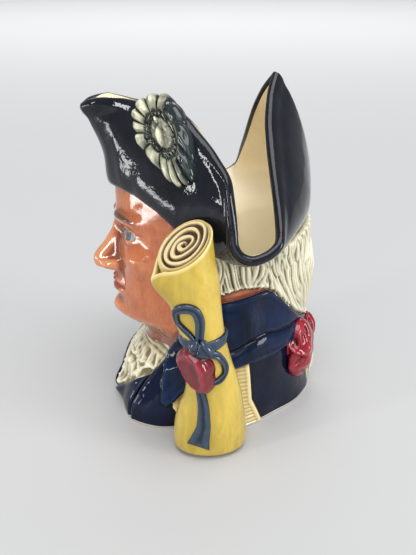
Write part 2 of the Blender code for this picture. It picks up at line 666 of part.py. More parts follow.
def ribbon_solids(collection):
    made = []
    width = RIBBON_WIDTH / SHARE
    round_about = np.linspace(0.0, 360.0, BAND_SIDES, endpoint=False)
    level = np.full(BAND_SIDES, BAND_LEVEL)
    here, _, _, _ = scroll_frame(level, np.where(round_about > 180, round_about - 360, round_about))
    out = unit_rows((here - here.mean(axis=0)) * [1, 1, 0])
    thick = RIBBON_THICKNESS / SHARE
    rings = [
        np.array([here[spot] + out[spot] * rise + np.array([0.0, 0.0, up])
                  for up, rise in ((-BAND_HALF, -1.2), (-BAND_HALF, 0.5 * thick),
                                   (-1.2, 0.8 * thick), (1.2, 0.8 * thick),
                                   (BAND_HALF, 0.5 * thick), (BAND_HALF, -1.2))])
        for spot in range(BAND_SIDES)
    ]
    made.append(loop("band_form", rings, collection))
    made.append(strap("upper_loop", UPPER_LOOP, np.array(UPPER_WIDTHS) * width, 22, False, collection))
    made.append(strap("lower_loop", LOWER_LOOP, np.array(LOWER_WIDTHS) * width, 16, False, collection))
    made.append(strap("tail_form", TAIL, TAIL_WIDTHS, 9, False, collection))
    here, out, forward, upward = scroll_frame(*(np.array([value]) for value in KNOT_PLACE))
    plain = lambda polar, turn: 0.04 * np.sin(4.0 * turn)
    made.append(lump("knot_form", here[0] + out[0], (forward[0], out[0], upward[0]),
                     KNOT_SIZE, 6, 12, plain, collection))
    return made


def thinned(obj, triangles):
    """Spends fewer triangles where the form is plain."""
    count = sum(len(polygon.vertices) - 2 for polygon in obj.data.polygons)
    modifier = obj.modifiers.new("thin_out", "DECIMATE")
    modifier.ratio = min(1.0, triangles / count)
    return baked(obj)


def baked(obj):
    """Replaces the object's mesh by what its modifiers make of it."""
    graph = bpy.context.evaluated_depsgraph_get()
    mesh = bpy.data.meshes.new_from_object(obj.evaluated_get(graph))
    obj.modifiers.clear()
    obj.data = mesh
    return obj


def fused(obj, others):
    for other in others:
        modifier = obj.modifiers.new("join_" + other.name, "BOOLEAN")
        modifier.operation = "UNION"
        modifier.solver = "EXACT"
        modifier.object = other
        modifier.use_self = True
        baked(obj)
    return obj


def glaze():
    """Dark glossy glaze, the colour that covers most of the jug."""
    material = bpy.data.materials.new("glazed_earthenware")
    material.use_nodes = True
    shader = material.node_tree.nodes["Principled BSDF"]
    shader.inputs["Base Color"].default_value = (0.05, 0.06, 0.11, 1.0)
    shader.inputs["Roughness"].default_value = 0.12
    shader.inputs["Metallic"].default_value = 0.0
    return material


def main():
    for obj in list(bpy.data.objects):
        bpy.data.objects.remove(obj)
    shown = bpy.data.collections.new("character_jug")
    bpy.context.scene.collection.children.link(shown)
    forms = bpy.data.collections.new("joined_forms")
    bpy.context.scene.collection.children.link(forms)
    forms.hide_render = True
    made = thinned(loft("jug", shell_rings(), shown), SHELL_TRIANGLES)
    others = [scroll_solid(forms), cockade_solid(forms), *bow_solids(forms)]
    others += [*ribbon_solids(forms), seal_solid(forms)]
    fused(made, others)
    for other in others:
        other.display_type = "WIRE"
        other.hide_render = True
    made.data.materials.clear()
    made.data.materials.append(glaze())
    made.data.shade_smooth()


main()
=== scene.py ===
"""Looks of the character jug: its painted, glazed surfaces in fine relief, a pale studio and the camera."""

import collections
import functools
import math

import bpy
import numpy as np
from bpy.props import FloatProperty, FloatVectorProperty, PointerProperty
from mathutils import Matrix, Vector


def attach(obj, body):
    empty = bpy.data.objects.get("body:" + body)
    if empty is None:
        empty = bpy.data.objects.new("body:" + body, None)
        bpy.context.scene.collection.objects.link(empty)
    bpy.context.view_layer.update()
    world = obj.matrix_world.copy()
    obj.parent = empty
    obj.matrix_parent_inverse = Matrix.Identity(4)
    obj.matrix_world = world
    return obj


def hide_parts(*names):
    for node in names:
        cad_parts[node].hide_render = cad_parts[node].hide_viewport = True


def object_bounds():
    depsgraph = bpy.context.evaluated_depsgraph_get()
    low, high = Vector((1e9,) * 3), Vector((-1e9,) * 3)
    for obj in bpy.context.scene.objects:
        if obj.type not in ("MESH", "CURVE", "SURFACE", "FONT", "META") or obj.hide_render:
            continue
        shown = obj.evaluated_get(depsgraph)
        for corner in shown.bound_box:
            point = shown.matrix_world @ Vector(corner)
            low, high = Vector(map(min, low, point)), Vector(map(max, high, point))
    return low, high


bl_info = {
    "name": "Character jug",
    "version": (1, 0, 0),
    "blender": (4, 5, 0),
    "location": "3D View > Sidebar > Jug",
    "description": "Builds the painted and glazed surfaces of a character jug round its packed solid",
    "category": "Object",
}

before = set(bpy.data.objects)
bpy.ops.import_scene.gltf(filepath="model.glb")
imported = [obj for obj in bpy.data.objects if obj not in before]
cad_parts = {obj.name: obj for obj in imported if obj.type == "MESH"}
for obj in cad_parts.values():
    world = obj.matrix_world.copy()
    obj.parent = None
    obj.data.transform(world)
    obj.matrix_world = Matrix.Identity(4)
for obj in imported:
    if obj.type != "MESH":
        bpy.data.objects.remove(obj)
CAD_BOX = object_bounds()

NODE = "jug"
BODY = "root"

# The sculpt is drawn in shares of the height, of which there are this many; a share is a millimetre.
SHARE_COUNT = 187.2
SHARE = 0.187 / SHARE_COUNT
# The panel's sizes are in metres, and there are this many shares to one.
MM = 1000.0
WALL = 4.5
HALF_WALL = WALL / 2.0
FLOOR = 6.0
FOOT_ROUNDING = 1.5

# Rows and columns of the surfaces.
FRONT_REACH = 62.0
FRONT_COLUMNS = 196
BACK_COLUMNS = 440
BUST_ROWS = 226
BRIM_ROWS = 60
ROUNDING_ROWS = 9
INSIDE_ROWS = 36


def smooth_step(low, high, value):
    part = np.clip((value - low) / (high - low), 0.0, 1.0)
    return part * part * (3.0 - 2.0 * part)


def bell(value, centre, width):
    return np.exp(-(((value - centre) / width) ** 2))


def curve(knots, values, at):
    """Smooth curve through the knots that never overshoots them."""
    knots = np.asarray(knots, float)
    values = np.asarray(values, float)
    step = np.diff(knots)
    slope = np.diff(values) / step
    tangent = np.zeros_like(values)
    same_way = slope[1:] * slope[:-1] > 0
    total = np.where(same_way, slope[1:] + slope[:-1], 1.0)
    tangent[1:-1] = np.where(same_way, 2.0 * slope[1:] * slope[:-1] / total, 0.0)
    at = np.clip(at, knots[0], knots[-1])
    spot = np.clip(np.searchsorted(knots, at, side="right") - 1, 0, len(step) - 1)
    width = step[spot]
    part = (at - knots[spot]) / width
    low = values[spot]
    high = values[spot + 1]
    turn = part * part * (3.0 - 2.0 * part)
    lead = part * (1.0 - part) ** 2 * width * tangent[spot]
    trail = -part * part * (1.0 - part) * width * tangent[spot + 1]
    return low + (high - low) * turn + lead + trail


def read(table, at):
    """Each column of a table as a smooth curve over its first one."""
    stops, *columns_of_it = zip(*table)
    return [curve(stops, column, at) for column in columns_of_it]


# Radius of the bust at heights above the ground, for eight directions round it.
PROFILES = {
    0: ((0, 60.5), (5, 62.2), (12, 59.2), (20, 56.4), (27, 53.4), (32, 48.8), (36, 45.2),
        (41, 43.5), (46, 45), (50, 50), (56, 56), (66, 57.2), (90, 57.5), (103, 57),
        (112, 58.5), (131, 58.5)),
    15: ((0, 59.4), (5, 60.6), (12, 58.2), (20, 55.2), (27, 51.8), (32, 47.4), (36, 44.4),
         (41, 43), (46, 43.5), (50, 48), (56, 54.6), (66, 56.4), (90, 56.8), (103, 55.5),
         (112, 56.5), (131, 55)),
    30: ((0, 62.2), (8, 62.2), (16, 59.5), (27, 53), (35, 46.5), (41, 41.5), (46, 41.5),
         (51, 45), (58, 51), (70, 53.4), (90, 54), (103, 53), (113, 53), (131, 51)),
    60: ((0, 53), (12, 53.5), (22, 53), (34, 51), (44, 48), (54, 45), (62, 43.5),
         (70, 43), (80, 44), (94, 46.5), (108, 48.5), (122, 50.5)),
    90: ((0, 50.0), (10, 49.8), (30, 49.0), (46, 47), (58, 46), (68, 44.5), (76, 43),
         (84, 43), (94, 44.5), (106, 48)),
    125: ((0, 44.8), (10, 45.6), (30, 45.8), (46, 44.5), (58, 43.5), (70, 42.5),
          (80, 42.5), (92, 44), (108, 46.5)),
    155: ((0, 49.5), (10, 48.5), (30, 46), (46, 44.5), (58, 45.5), (72, 46.5),
          (86, 46), (98, 45.5), (110, 46)),
    180: ((0, 54), (12, 51.5), (30, 48.5), (46, 46.5), (56, 48), (66, 50), (76, 50.3),
          (88, 48.8), (100, 47), (110, 47)),
}

# The fold where the hat leaves the head: direction, radius and height.
FOLD = (
    (0, 61, 131.5), (15, 56.6, 131), (29, 53.5, 129.5), (42, 53.6, 126.5),
    (53, 55, 122), (62, 56.4, 116.5), (71, 56, 110), (81, 54.6, 104.5), (90, 53.6, 101),
    (98, 53.2, 100), (106, 52.6, 100.5), (115, 51.6, 102), (125, 50, 104.5),
    (137, 48, 107), (153, 47, 109), (168, 47.6, 110.5), (180, 48.6, 111),
)
# The crest of the brim over the same directions: across, back and up, then how far the
# flap between fold and crest swells outward.
CREST = (
    (0, 0, -73.6, 173.5, -2.8), (5, 4.0, -69.5, 176, -1.5), (11, 7.2, -61.5, 177.3, 0.5),
    (17, 10.5, -54, 177.4, 2.5), (25, 15.5, -45, 176.6, 4), (34, 22.5, -35, 175.6, 5),
    (44, 31, -25.5, 174.2, 5.5), (54, 42, -16.2, 165.3, 5.5), (63, 52.5, -8.8, 155.8, 5),
    (72, 62.5, -4, 145.5, 4), (79, 69, -3.6, 132, 2.5), (85, 72.6, -3.8, 120, 1.5),
    (91, 75.6, -0.5, 113.6, 1), (98, 76.5, 4.5, 112, 1), (105, 75, 12, 113.8, 1),
    (112, 71.4, 18, 119, 2), (119, 64.5, 18.6, 123.5, 4), (130, 51, 18.4, 135.5, 7),
    (143, 36, 18.6, 148.5, 9), (157, 21.5, 19.4, 163, 10), (169, 9, 22.6, 177.5, 9),
    (180, 0, 27.2, 187.2, 7.5),
)
FAR_BRIM_DROP = (
    (0, 0.2), (12, 0.3), (15, 1.4), (18, 2.6), (21, 3.6), (25, 4.8), (30, 6), (40, 7.5),
    (55, 7.5), (72, 4.5), (82, 0), (180, 0),
)

# Regions of low relief, as direction and height round their outlines.
COLLAR = (
    (45, 44), (53, 54), (60, 69), (70, 73), (83, 75), (101, 77.7), (116, 79.5), (121, 77.5),
    (130, 71), (140, 63), (150, 56.5), (160, 52), (170, 49.5), (200, 49), (200, 43),
    (150, 42.5), (131, 42), (120, 41), (110, 40.2), (100, 40), (91, 38.3), (80, 35), (70, 33),
    (62, 26), (56, 18.5), (51.5, 14.5), (48.5, 17), (47.5, 28),
)
HAIR = (
    (53, 140), (54.5, 112), (52.5, 100), (54, 89), (57, 79), (63, 76), (74, 77.5),
    (85, 80), (96, 82.4), (105, 81.8), (113, 80.9), (118, 79.2), (121, 77.8), (126, 74.3),
    (130, 70.8), (138, 64.8), (146, 59.5), (158, 54), (169, 50), (180, 47.5), (200, 47.5),
    (200, 140),
)
CRAVAT = (
    (-47, 42), (-40, 35), (-34, 26), (-24, 20), (-12, 11.5), (0, 4.5), (12, 11.5),
    (24, 20), (34, 26), (40, 35), (47, 42), (40, 43.5), (20, 39.5), (0, 38.5), (-20, 39.5),
    (-40, 43.5),
)
LAPEL = (
    (45, 44), (39, 35), (33.5, 25), (30.5, 14), (29.5, 5), (29, -8), (3, -8), (2, 4),
    (12, 12), (24, 20.5), (34, 27), (40, 37),
)
COAT_FRONT = (
    (45.5, 42), (39.5, 33), (34.5, 23), (31.5, 12), (30.5, 4), (30, -8), (64, -8),
    (62, 10), (54, 30), (50, 44),
)
EPAULETTE = (
    (54, 28), (66, 44), (84, 52), (100, 50), (101, 40), (103.2, 17), (112.5, 0), (117, -8),
    (96, -8), (84, -4), (72, 4), (62, 8), (56.5, 11), (54.5, 14),
)


def region(outline, angle, height):
    """Distance inside the outline, in shares, over direction and height."""
    points = np.array([(corner[0] * 0.85, corner[1]) for corner in outline], float)
    across = angle * 0.85
    best = np.full(across.shape, 1e9)
    inside = np.zeros(across.shape, bool)
    for start, end in zip(points, np.roll(points, -1, axis=0)):
        run = end - start
        along = ((across - start[0]) * run[0] + (height - start[1]) * run[1]) / (run @ run)
        along = np.clip(along, 0.0, 1.0)
        off = np.hypot(across - start[0] - along * run[0], height - start[1] - along * run[1])
        best = np.minimum(best, off)
        crosses = (start[1] > height) != (end[1] > height)
        rise = np.where(run[1] == 0.0, 1.0, run[1])
        reach = start[0] + (height - start[1]) * run[0] / rise
        inside ^= crosses & (across < reach)
    return np.where(inside, best, -best)


def unit_rows(vectors):
    return vectors / np.maximum(np.linalg.norm(vectors, axis=-1, keepdims=True), 1e-9)


def bare_radius(angle, height):
    """Radius of the plain bust, before any relief."""
    turn = np.abs(angle)
    stops = np.array(sorted(PROFILES), float)
    layers = np.array([read(PROFILES[stop], height)[0] for stop in sorted(PROFILES)])
    spot = np.clip(np.searchsorted(stops, turn, side="right") - 1, 0, len(stops) - 2)
    part = (turn - stops[spot]) / (stops[spot + 1] - stops[spot])
    pick = np.arange(turn.size).reshape(turn.shape)
    flat = layers.reshape(len(stops), -1)
    last = len(stops) - 1

    def layer(index):
        index = np.where(index < 0, -index, index)
        index = np.where(index > last, 2 * last - index, index)
        return flat[index, pick]

    before, low, high, after = (layer(spot + step) for step in (-1, 0, 1, 2))
    square = part * part
    cube = square * part
    return 0.5 * (
        2.0 * low + (high - before) * part
        + (2.0 * before - 5.0 * low + 4.0 * high - after) * square
        + (3.0 * low - before - 3.0 * high + after) * cube
    )


def spoke(angle, radius, height):
    turn = np.radians(angle)
    return np.stack([radius * np.sin(turn), -radius * np.cos(turn), height], axis=-1)


def hat_centre(angle, rise):
    """The middle of the brim's wall, from the fold at rise 0 to the crest at rise 1."""
    side = np.abs(angle)
    fold_radius, fold_height = read(FOLD, side)
    across, back, up, swell = read(CREST, side)
    way = np.where(angle < 0, -1.0, 1.0)
    lower = np.where(angle < 0, read(FAR_BRIM_DROP, side)[0], 0.0)
    crest = np.stack([way * across, back, up - lower], axis=-1)
    fold = spoke(angle, fold_radius - HALF_WALL, fold_height + 0.6 * HALF_WALL)
    turn = np.radians(angle)
    outward = np.stack([np.sin(turn), -np.cos(turn), np.zeros_like(turn)], axis=-1)
    belly = swell[..., None] * outward
    part = rise[..., None]
    arch = 4.0 * part * (1.0 - part)
    flare = (part - part * part) * (1.0 - part) * 3.0
    lift = np.array([0.0, 0.0, 1.0]) * smooth_step(70.0, 92.0, side)[..., None]
    lift = lift * smooth_step(128.0, 108.0, side)[..., None]
    return fold + (crest - fold) * part + belly * arch - lift * flare * 2.0


def hat_normal(angle, rise):
    """The way out of the brim's wall."""
    around = hat_centre(angle + 1.0, rise) - hat_centre(angle - 1.0, rise)
    upward = hat_centre(angle, rise + 0.01) - hat_centre(angle, rise - 0.01)
    return unit_rows(np.cross(around, upward))


def brim_length(around):
    """Distance from the fold to the crest in each direction."""
    steps = hat_centre(around, np.ones_like(around)) - hat_centre(around, 0.0 * around)
    return np.linalg.norm(steps, axis=-1)


# The scroll: height, distance back of its middle, distance out, half breadth, half depth.
SCROLL = (
    (0, -14.2, 61.5, 17.8, 13.8), (2.5, -14.2, 61.8, 19.0, 15.0), (8, -14.2, 62.2, 19.5, 15.6),
    (17, -14.3, 63.5, 18.9, 15.2), (27, -14.0, 65.5, 17.1, 14.0), (35, -13.4, 67.0, 15.0, 12.8),
    (46, -14.0, 69.0, 13.1, 11.6), (56, -15.8, 70.6, 11.7, 10.8), (67, -17.5, 71.4, 10.6, 10.2),
    (76, -20.0, 71.4, 11.6, 10.4), (86, -21.9, 71.0, 12.4, 11.0), (100, -24.5, 70.2, 13.9, 11.9),
    (110, -26.9, 69.6, 14.5, 12.2), (130, -28.4, 68.8, 14.4, 12.6),
)
SCROLL_TOP = 118.8
SCROLL_TILT = math.radians(30.0)
SCROLL_LEAN = math.radians(27.0)
SCROLL_MIDDLE = (70.0, -17.0, 0.0)


# The flared corner of its sheet: how far it stands out, its height, tallness, direction and breadth.
CORNER = (6.2, 102.0, 9.0, 62.0, 26.0)


def scroll_skin(level, direction, lift=0.0, corner_share=1.0):
    """Point of the scroll's skin: direction 0 faces outward, 90 forward."""
    back, out, breadth, depth = read(SCROLL, level)
    flare, corner_level, tallness, corner_way, corner_breadth = CORNER
    turn = np.radians(direction)
    corner = flare * bell(level, corner_level, tallness)
    corner = corner * bell(direction, corner_way, corner_breadth) * corner_share
    across = (breadth + lift + corner) * np.sin(turn)
    outward = (depth + lift + 0.4 * corner) * np.cos(turn)
    return np.stack([out + outward, back - across, level + 0.0 * turn], axis=-1)


def resampled(values, count):
    """Evenly resamples a path of a few points into a smooth one."""
    values = np.asarray(values, float)
    spans = len(values) - 1
    padded = np.vstack([2 * values[0] - values[1], values, 2 * values[-1] - values[-2]])
    at = np.linspace(0.0, spans, count)
    spot = np.minimum(at.astype(int), spans - 1)
    part = (at - spot)[:, None]
    one, two, three, four = (padded[spot + step] for step in range(4))
    return 0.5 * (
        2 * two + (three - one) * part
        + (2 * one - 5 * two + 4 * three - four) * part**2
        + (3 * two - one - 3 * three + four) * part**3
    )


def scroll_frame(level, direction):
    """Skin point, way out, way forward and way up of the scroll."""
    here = scroll_skin(level, direction)
    forward = unit_rows(scroll_skin(level, direction + 1.0) - scroll_skin(level, direction - 1.0))
    upward = unit_rows(scroll_skin(level + 0.5, direction) - scroll_skin(level - 0.5, direction))
    out = unit_rows(np.cross(upward, forward))
    out *= np.sign(np.sum(out * (here - SCROLL_MIDDLE) * [1, 1, 0], axis=-1))[:, None]
    return here, out, forward, upward


# Places and sizes of the bow, the tail of hair, the ribbon, the seal and the rosette.
BOW_LOOP_PLACE = (21.0, 42.0, 33.8)
BOW_LOOP_SIZE = (12.8, 18.4)
BOW_LOOP_FACES = 148.0
BOW_KNOT_PLACE = (0.0, 51.0, 36.5)
BOW_KNOT_SIZE = (7.5, 6.5, 9.5)
BOW_LOOP_GRID = (120, 200)
BOW_KNOT_GRID = (60, 110)
QUEUE_GRID = (90, 130)
QUEUE_PLACE = (0.0, 52.0, 17.0)
QUEUE_SIZE = (8.0, 5.2, 16.4)
BAND_LEVEL = 70.2
BAND_HALF = 3.4
KNOT_PLACE = (69.5, 14.0)
# Paths of the ribbon as height and direction on the scroll, and widths along them: a loop's as
# shares of the ribbon's own width, and the tail's for a ribbon of the usual width.
UPPER_LOOP = (
    (72, 13), (80.5, 3), (85.2, 0), (89.5, 5), (91.2, 18), (90.8, 34), (88.5, 49),
    (83.2, 56), (80, 43), (77.2, 30), (72, 20),
)
UPPER_WIDTHS = (0.50, 0.58, 0.62, 0.62, 0.62, 0.58, 0.46, 0.36, 0.32, 0.30, 0.28)
LOWER_LOOP = ((68, 4), (66, -8), (64.3, -24), (60, -35), (55, -34), (52, -20), (50, -2), (50, 12))
LOWER_WIDTHS = (0.50, 0.56, 0.50, 0.42, 0.40, 0.40, 0.36, 0.32)
TAIL = ((47, 34), (44, 32), (36.2, 25), (28.5, 19), (21.5, 17), (14, 21), (9, 24))
TAIL_WIDTHS = (5.0, 5.0, 5.5, 6.5, 7.5, 10.0, 12.5)
USUAL_RIBBON_WIDTH = 8.0
SEAL_PLACE = (56.5, 41.0)
SEAL_SIZE = (12.6, 9.8)
COCKADE_PLACE = (42.5, 0.755)
COCKADE_PLEATS = 13


def wander(value, seed, other=0.0):
    """A slow irregular wave over one or two values, between about -1 and 1."""
    total = 0.0
    for step in range(3):
        rate = 1.0 + 0.62 * step + 0.13 * seed
        total = total + np.sin(value * rate + seed * 2.4 + 1.7 * step)
        total = total + np.sin(other * rate * 0.9 + seed * 1.3 + 4.1 * step + 0.4 * total)
    return total / 4.5


def ridges(value, sharp=0.6):
    """Round-topped ridges one apart with narrow grooves between, from 0 to 1."""
    return np.abs(np.sin(np.pi * value)) ** sharp


# The face is a plain design in thirds: chin to nose, nose to brow, brow to hairline.
CHIN_HEIGHT = 52.5
FACE_THIRD = 30.5
NOSE_BASE = CHIN_HEIGHT + FACE_THIRD
BROW = NOSE_BASE + FACE_THIRD
EYE = BROW - 8.0
MOUTH = NOSE_BASE - 9.8
EYE_ACROSS = 15.5
EYE_HALF = 7.8
LID_UP = 3.3
LID_DOWN = 2.2
IRIS_SIZE = 3.3
PUPIL_SIZE = 1.35


def eye_edges(side):
    """Heights of the two lids' edges over distance across, and how far along the eye that is."""
    part = (side - EYE_ACROSS) / EYE_HALF
    arch = np.clip(1.0 - part * part, 0.0, 1.0)
    middle = EYE - 1.0 + 0.5 * part
    return middle + LID_UP * arch**0.75, middle - LID_DOWN * arch, part


def eye_opening(side, height):
    """Distance inside the opening between the lids."""
    upper, lower, part = eye_edges(side)
    inside = np.minimum(upper - height, height - lower)
    return inside - 4.0 * np.clip(np.abs(part) - 1.0, 0.0, 9.0) - 0.05


def brow_line(side):
    return BROW + 2.2 - 0.018 * (side - 13.0) ** 2


def brow_cover(side, height):
    """How much of the brow's hair grows at a place."""
    half = curve((3.0, 7.0, 14.0, 24.0, 27.0), (0.4, 1.9, 1.7, 0.8, 0.2), side)
    along = smooth_step(3.0, 5.5, side) * smooth_step(27.0, 22.0, side)
    return along * smooth_step(1.5, 0.5, np.abs(height - brow_line(side)) / half)


def lip_cover(side, height):
    """How much of the lips' colour a place has."""
    upper = MOUTH + 3.9 + 0.7 * bell(side, 3.0, 1.8) - 0.024 * side**2
    lower = MOUTH - 5.4 + 0.036 * side**2
    return smooth_step(-0.5, 0.9, np.minimum(upper - height, height - lower))


# Bumps and hollows of the face: amount, distance across, breadth, height and tallness. They are
# the side of the nose, nostril, brow, socket, eyeball, cheek, round of the mouth and its corner,
# groove above the lips and its edge, dip below the lips, and chin.
FEATURES = (
    (-0.9, 11.4, 1.2, NOSE_BASE + 3.4, 3.2), (-2.4, 4.3, 1.5, NOSE_BASE - 0.9, 1.0),
    (2.5, 13.5, 10.0, BROW, 3.8), (-4.4, EYE_ACROSS - 1.0, 8.5, EYE, 4.8),
    (3.5, EYE_ACROSS, 6.4, EYE - 0.8, 3.8), (3.2, 25.0, 11.0, EYE - 12.5, 8.0),
    (2.6, 0.0, 15.0, MOUTH, 9.5), (-0.7, 12.6, 1.5, MOUTH - 0.4, 1.6),
    (-0.55, 0.0, 1.4, NOSE_BASE - 4.6, 2.6), (0.3, 2.7, 1.0, NOSE_BASE - 4.6, 2.6),
    (-1.9, 0.0, 10.0, MOUTH - 8.2, 2.6), (5.6, 0.0, 12.0, CHIN_HEIGHT + 5.5, 5.5),
)
NOSE_TIP_UNDER = NOSE_BASE - 3.4
NOSE_ROOT = EYE + 7.0
# Height of the nose's ridge off the face, over height.
NOSE_RIDGE = (
    (NOSE_TIP_UNDER, 0), (NOSE_BASE - 1.5, 5.0), (NOSE_BASE + 1.2, 12.8), (NOSE_BASE + 4.5, 14.6),
    (NOSE_BASE + 14, 8.6), (EYE, 3.8), (NOSE_ROOT, 0.6),
)
NOSE_WIDTH = ((NOSE_BASE - 2, 6.6), (NOSE_BASE + 5, 6.0), (EYE + 2, 4.2))


def face(across, height):
    """Relief of the face over distance across it and height."""
    side = np.abs(across)
    nose = read(NOSE_RIDGE, height)[0]
    nose = np.where(height < NOSE_TIP_UNDER, 0.0, nose)
    nose = np.where(height > NOSE_ROOT, 0.6 * bell(height, NOSE_ROOT, 3.0), nose)
    total = nose * np.exp(-np.abs(side / read(NOSE_WIDTH, height)[0]) ** 2.3)
    total += 4.9 * np.exp(-np.abs((side - 7.4) / 3.0) ** 2.4) * bell(height, NOSE_BASE + 2.8, 3.3)
    for amount, place, breadth, level, tallness in FEATURES:
        total += amount * bell(side, place, breadth) * bell(height, level, tallness)
    upper, lower, _ = eye_edges(side)
    near_eye = bell(side, EYE_ACROSS, 9.5) * bell(height, EYE - 0.5, 6.0)
    total += 1.15 * smooth_step(0.35, -0.45, eye_opening(side, height)) * near_eye
    total -= 0.95 * bell(height, upper + 2.5, 0.75) * bell(side, EYE_ACROSS, 7.2)
    total -= 0.5 * bell(height, lower - 2.4, 0.8) * bell(side, EYE_ACROSS - 1.0, 6.0)
    fold = bell(side, 12.2 + 0.16 * (NOSE_BASE + 3 - height), 1.5)
    fold = fold * smooth_step(NOSE_BASE + 5, NOSE_BASE - 1, height)
    total -= 0.9 * fold * smooth_step(MOUTH - 1, MOUTH + 4, height)
    bow = 0.5 * bell(side, 3.0, 1.8) - 0.4 * bell(side, 0.0, 1.4)
    total += (1.7 + bow) * np.exp(-np.abs(side / 10.5) ** 3) * bell(height, MOUTH + 2.3, 1.8)
    total += 2.3 * np.exp(-np.abs(side / 9.5) ** 3) * bell(height, MOUTH - 3.0, 2.4)
    total -= 1.9 * np.exp(-np.abs(side / 12.0) ** 4) * bell(height, MOUTH - 0.1, 0.75)
    strokes = ridges(side * 0.42 + (height - brow_line(side)) * 0.3 + 0.2 * wander(side, 2))
    return total + brow_cover(side, height) * (0.35 + 0.5 * strokes)


def face_drop(across, height):
    """How far the carving hangs down, so that nose and lip overhang what is below."""
    side = np.abs(across)
    drop = 1.7 * bell(side, 0.0, 7.0) * bell(height, NOSE_BASE + 2.2, 3.2)
    return drop + 0.5 * bell(side, 7.4, 3.0) * bell(height, NOSE_BASE + 1.8, 2.6)


def lock_lines(side, height, slant):
    """Number of the lock at a place: locks hang straight in front and draw to the nape behind."""
    fall = np.clip((height - 42.0) / 66.0, 0.02, 1.2)
    draw = 0.06 + 0.60 * np.clip((side - 62.0) / 110.0, 0.0, 1.0)
    lines = (180.0 - side) * 0.85 / fall**draw + slant * (height - 80.0)
    lines = lines + 2.2 * wander(lines * 0.10, 1, height * 0.055)
    return lines + 0.9 * np.sin(height * 0.21 + 1.9 * wander(lines * 0.13, 3))


def hair_relief(angle, height, depth):
    """Overlapping wavy locks that fall from under the hat, with strands along each."""
    side = np.abs(angle)
    gather = np.clip((height - 42.0) / 40.0, 0.25, 1.0)
    layers = []
    for slant, seed in ((0.0, 1), (0.24, 4), (-0.16, 7)):
        lines = lock_lines(side, height, slant)
        locks = ridges(lines / 6.4 + 0.35 * wander(lines * 0.16, seed, height * 0.07), 0.8) - 0.62
        strands = ridges(lines / 2.3 + 0.45 * wander(height * 0.09, seed + 1, lines * 0.33), 0.9) - 0.6
        swell = 0.35 * wander(lines * 0.17, seed + 2, height * 0.09)
        layers.append(0.62 * locks + 0.48 * strands * (1.0 + swell) + 0.3 * swell)
    over = wander(side * 0.085 + 0.4, 6, height * 0.085 + side * 0.03)
    under = wander(side * 0.07 + 2.0, 2, height * 0.10 - side * 0.04)
    first = smooth_step(0.05, 0.40, over)
    second = smooth_step(0.20, 0.50, under) * (1.0 - first)
    relief = layers[0] * (1.0 - first - second) + layers[1] * first + layers[2] * second
    return depth * (relief + 0.30 * first) * gather


def cravat_relief(angle, height, depth):
    """A neckband in level pleats over a crumpled ruffle."""
    across = angle * 0.95
    band = smooth_step(33.0, 36.5, height - 0.04 * np.abs(across))
    pleats = ridges(height / 3.4 + 0.25 * wander(across * 0.12, 3), 0.7) - 0.6
    one = across * 0.16 + 1.0 * wander(height * 0.16, 1, across * 0.1)
    two = height * 0.13 + 1.0 * wander(across * 0.14, 2, height * 0.12)
    crease = 1.0 - np.abs(wander(one * 1.6, 3, two * 1.7)) * 2.2
    small = 1.0 - np.abs(wander(one * 3.6 + 1.0, 4, two * 3.9)) * 2.0
    ruffle = 0.95 * crease + 0.4 * small - 0.35
    return depth * (band * 0.5 * pleats + (1.0 - band) * ruffle)


# Height of the edge of the coat round the neck, and of the crease under the collar's turned leaf.
NECKLINE = (
    (0, 38.5), (38, 41), (46, 45), (54, 57), (62, 65), (74, 70), (98, 74), (112, 77),
    (122, 74), (135, 65), (150, 54), (165, 49), (180, 47),
)
CREASE = (
    (45, 40), (60, 45), (80, 46), (90, 47.6), (102, 52.2), (114, 54.2), (127, 52.6), (140, 52),
    (200, 49),
)
LABELS = ("coat", "collar", "epaulettes", "cravat", "head", "wig")


def columns():
    """Directions of the columns, closer together over the face, going once round."""
    front = np.linspace(-FRONT_REACH, FRONT_REACH, FRONT_COLUMNS, endpoint=False)
    back = np.linspace(FRONT_REACH, 360.0 - FRONT_REACH, BACK_COLUMNS, endpoint=False)
    return np.concatenate([front, back])


def turned_in(angle):
    return np.where(angle > 180.0, angle - 360.0, angle)


